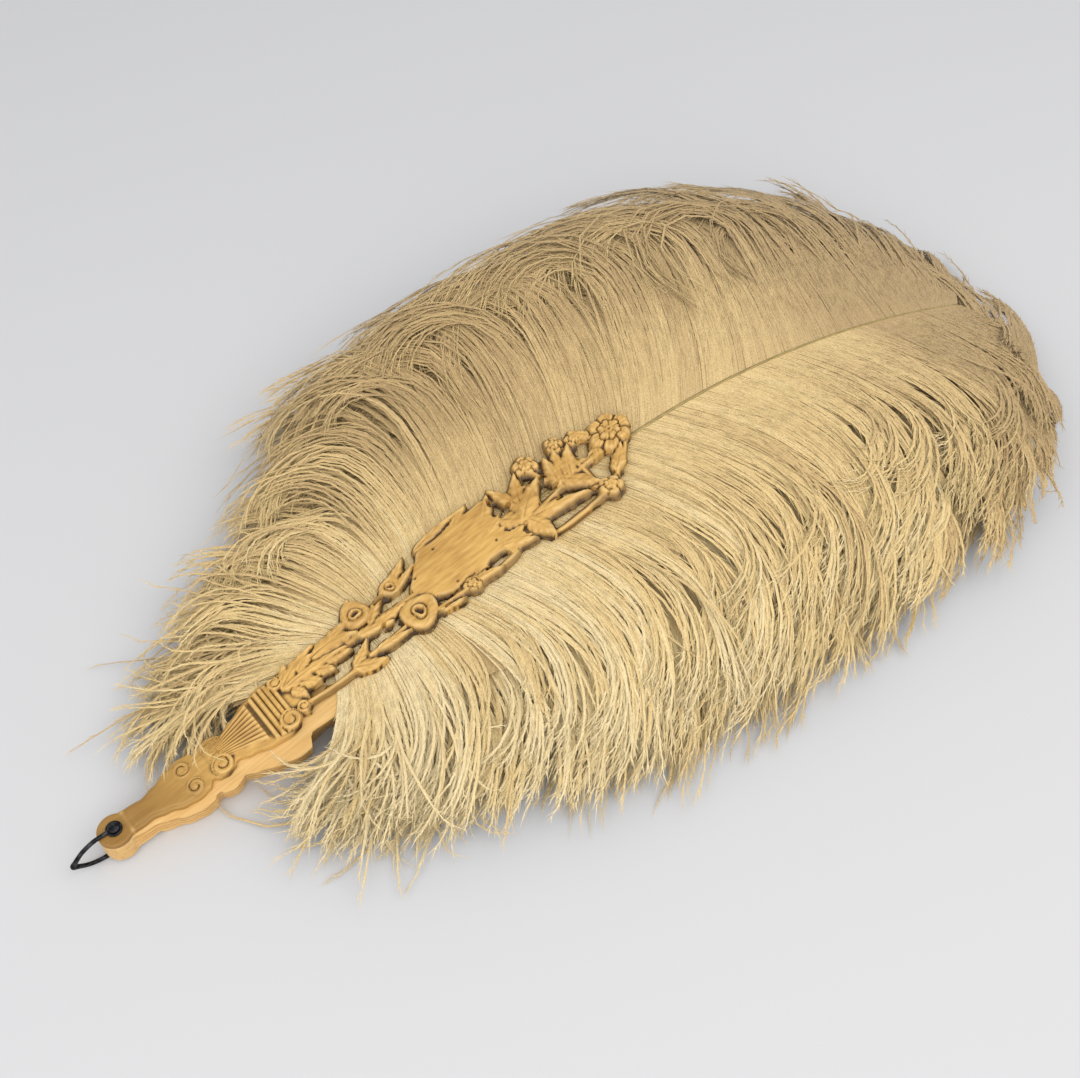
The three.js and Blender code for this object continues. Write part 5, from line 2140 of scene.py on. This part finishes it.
def spline(points: Array, count: int) -> Array:
    """A smooth curve through points: cubic pieces with slopes from each point's neighbours.

    Args:
        points: the points to pass.
        count: how many places along the curve are wanted.
    Returns:
        The places.
    """
    chord = np.concatenate([[0.0], np.cumsum(np.sqrt(np.linalg.norm(np.diff(points, axis=0), axis=1)))])
    slope = np.gradient(points, chord, axis=0)
    at = np.linspace(0.0, chord[-1], count)
    i = np.clip(np.searchsorted(chord, at) - 1, 0, len(chord) - 2)
    gap = (chord[i + 1] - chord[i])[:, None]
    u = ((at - chord[i])[:, None]) / gap
    return ((2 * u ** 3 - 3 * u ** 2 + 1) * points[i] + (u ** 3 - 2 * u ** 2 + u) * gap * slope[i]
            + (3 * u ** 2 - 2 * u ** 3) * points[i + 1] + (u ** 3 - u ** 2) * gap * slope[i + 1])


@dataclass
class Studio:
    """Pale floor, soft light and the camera at the photographed angle."""

    lens: float = 45.79
    eye: Place = (-6.28, -287.49, 497.38)
    right: Place = (0.775955, -0.630191, -0.027457)
    up: Place = (0.516807, 0.610182, 0.600490)
    nearest: float = 0.01
    farthest: float = 50.0
    floor_colour: Colour = (0.62, 0.63, 0.65)
    floor_size: float = 12.0
    floor_level: float = -0.0003
    floor_rough: float = 0.8
    world: Colour = (0.84, 0.84, 0.85)
    sky: float = 0.70
    key_place: Place = (0.45, -0.95, 1.55)
    key_power: float = 16.0
    fill_place: Place = (-0.95, -0.75, 1.2)
    fill_power: float = 17.0
    lamp_size: float = 1.8
    lamp_tint: Colour = (1.0, 0.97, 0.93)

    def camera(self) -> None:
        """Places the camera, given from the rivet's axis in the fan's frame."""
        data = bpy.data.cameras.new("camera")
        data.lens = self.lens
        data.clip_start, data.clip_end = self.nearest, self.farthest
        camera = placed("camera", data)
        right, up = np.array(self.right), np.array(self.up)
        stand(camera, [right, up, np.cross(right, up)], np.array(self.eye) * METRES + RIVET_AXIS)
        bpy.context.scene.camera = camera

    def floor(self) -> None:
        """A wide plain floor just under the fan."""
        half = self.floor_size / 2
        mesh = bpy.data.meshes.new("floor")
        corners = [(-half, -half), (half, -half), (half, half), (-half, half)]
        mesh.from_pydata([(x, y, self.floor_level) for x, y in corners], [], [(0, 1, 2, 3)])
        nodes = Nodes("floor")
        nodes.feed(nodes.surface, {"Base Color": (*self.floor_colour, 1.0), "Roughness": self.floor_rough})
        mesh.materials.append(nodes.material)
        floor = placed("floor", mesh)

    def lamp(self, name: str, place: Place, power: float) -> None:
        """A square area lamp that faces the middle of the fan.

        Args:
            name: the lamp's name.
            place: where it stands, in metres.
            power: its power in watts.
        """
        data = bpy.data.lights.new(name, "AREA")
        data.size, data.energy, data.color = self.lamp_size, power, self.lamp_tint
        back = unit(np.array(place))
        side = unit(np.cross(np.array([0.0, 0.0, 1.0]), back))
        stand(placed(name, data), [side, np.cross(back, side), back], np.array(place))

    def light(self) -> None:
        """Two large soft lamps, from the near right and the near left, and an even sky."""
        self.lamp("key", self.key_place, self.key_power)
        self.lamp("fill", self.fill_place, self.fill_power)
        world = bpy.data.worlds.new("studio")
        world.use_nodes = True
        background = world.node_tree.nodes["Background"]
        background.inputs["Color"].default_value = (*self.world, 1.0)
        background.inputs["Strength"].default_value = self.sky
        bpy.context.scene.world = world
        bpy.context.scene.view_settings.view_transform = "Standard"


def fasten(piece: Piece, body: str, slot: Slot, *nodes: str) -> None:
    """Rides a piece on a body, hides the CAD nodes that it stands for, and logs it.

    Args:
        piece: the finished piece.
        body: what carries it.
        slot: the material that the piece stands for; not used.
        nodes: the CAD nodes.
    """
    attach(piece, body)
    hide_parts(*nodes)
    log.info("%s on %s: %d faces", piece.name, body, len(piece.data.polygons))


def body_of_leaf(index: int) -> str:
    """The body that carries a stick and its plume."""
    ends = {0: "rear_leaf", STACK.front: "front_leaf"}
    return ends.get(index, f"leaf_{index}")


# Barbs of the plumes that show, from the top one down, and of each plume under them
SHOWN_BARBS = (760, 660, 540)
HIDDEN_BARBS = 330


def plume_of(index: int, turn: float) -> Plume:
    """A plume of the stack; the upper ones have more barbs and more down because they show.

    Args:
        index: place in the stack, from the bottom.
        turn: rest angle of its stick, in degrees.
    Returns:
        The plume.
    """
    depth = STACK.front - index
    shown = depth < len(SHOWN_BARBS)
    barbs = SHOWN_BARBS[depth] if shown else HIDDEN_BARBS
    if shown:
        return Plume(index, turn, barbs, locks=58, down=34, tip_cover=0.0 if depth else 0.55)
    return Plume(index, turn, barbs, locks=46, down=24, segments=9, down_from=0.2, bed_stride=2)


def build_plumes(sticks: Sticks) -> None:
    """All plumes, from the bottom of the stack to the top.

    Args:
        sticks: the sticks that carry them.
    """
    feather, quill = Feather().material(), Quill().material()
    for index in range(STACK.front + 1):
        plume = plume_of(index, sticks.turns[index])
        body = body_of_leaf(index)
        fasten(plume.shaft(quill), body, Slot.QUILL, f"shaft_{index}")
        for side in Side:
            fasten(plume.vane(side, feather), body, Slot.FEATHER, f"{side.name.lower()}_vane_{index}")


def build_wood(sticks: Sticks) -> None:
    """Rear guard, inner sticks and the carved front guard.

    Args:
        sticks: the plain leaves.
    """
    plain = StickWood().material()
    fasten(sticks.rear(plain), body_of_leaf(0), Slot.STICK_WOOD, "rear_guard")
    for index in range(1, STACK.front):
        fasten(sticks.inner(index, plain), body_of_leaf(index), Slot.STICK_WOOD, f"stick_{index}")
    guard = CarvedGuard(sticks).piece(CarvedWood().material())
    fasten(guard, body_of_leaf(STACK.front), Slot.CARVED_WOOD, "front_guard")


def build_metal() -> None:
    """Rivet and bail."""
    steel = BlackenedSteel().material()
    metal = RivetAndBail()
    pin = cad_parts["rivet_pin"]
    pin.data.materials.clear()
    pin.data.materials.append(steel)
    fasten(metal.cap(steel), "rear_leaf", Slot.STEEL, "rivet_cap")
    fasten(metal.bail(steel), "bail", Slot.STEEL, "bail")


def main() -> None:
    """Builds the studio and every piece in order."""
    logging.basicConfig(level=logging.INFO, format="%(message)s")
    studio = Studio()
    studio.camera()
    studio.floor()
    studio.light()
    sticks = Sticks()
    build_wood(sticks)
    build_metal()
    build_plumes(sticks)


if __name__ == "__main__":
    main()
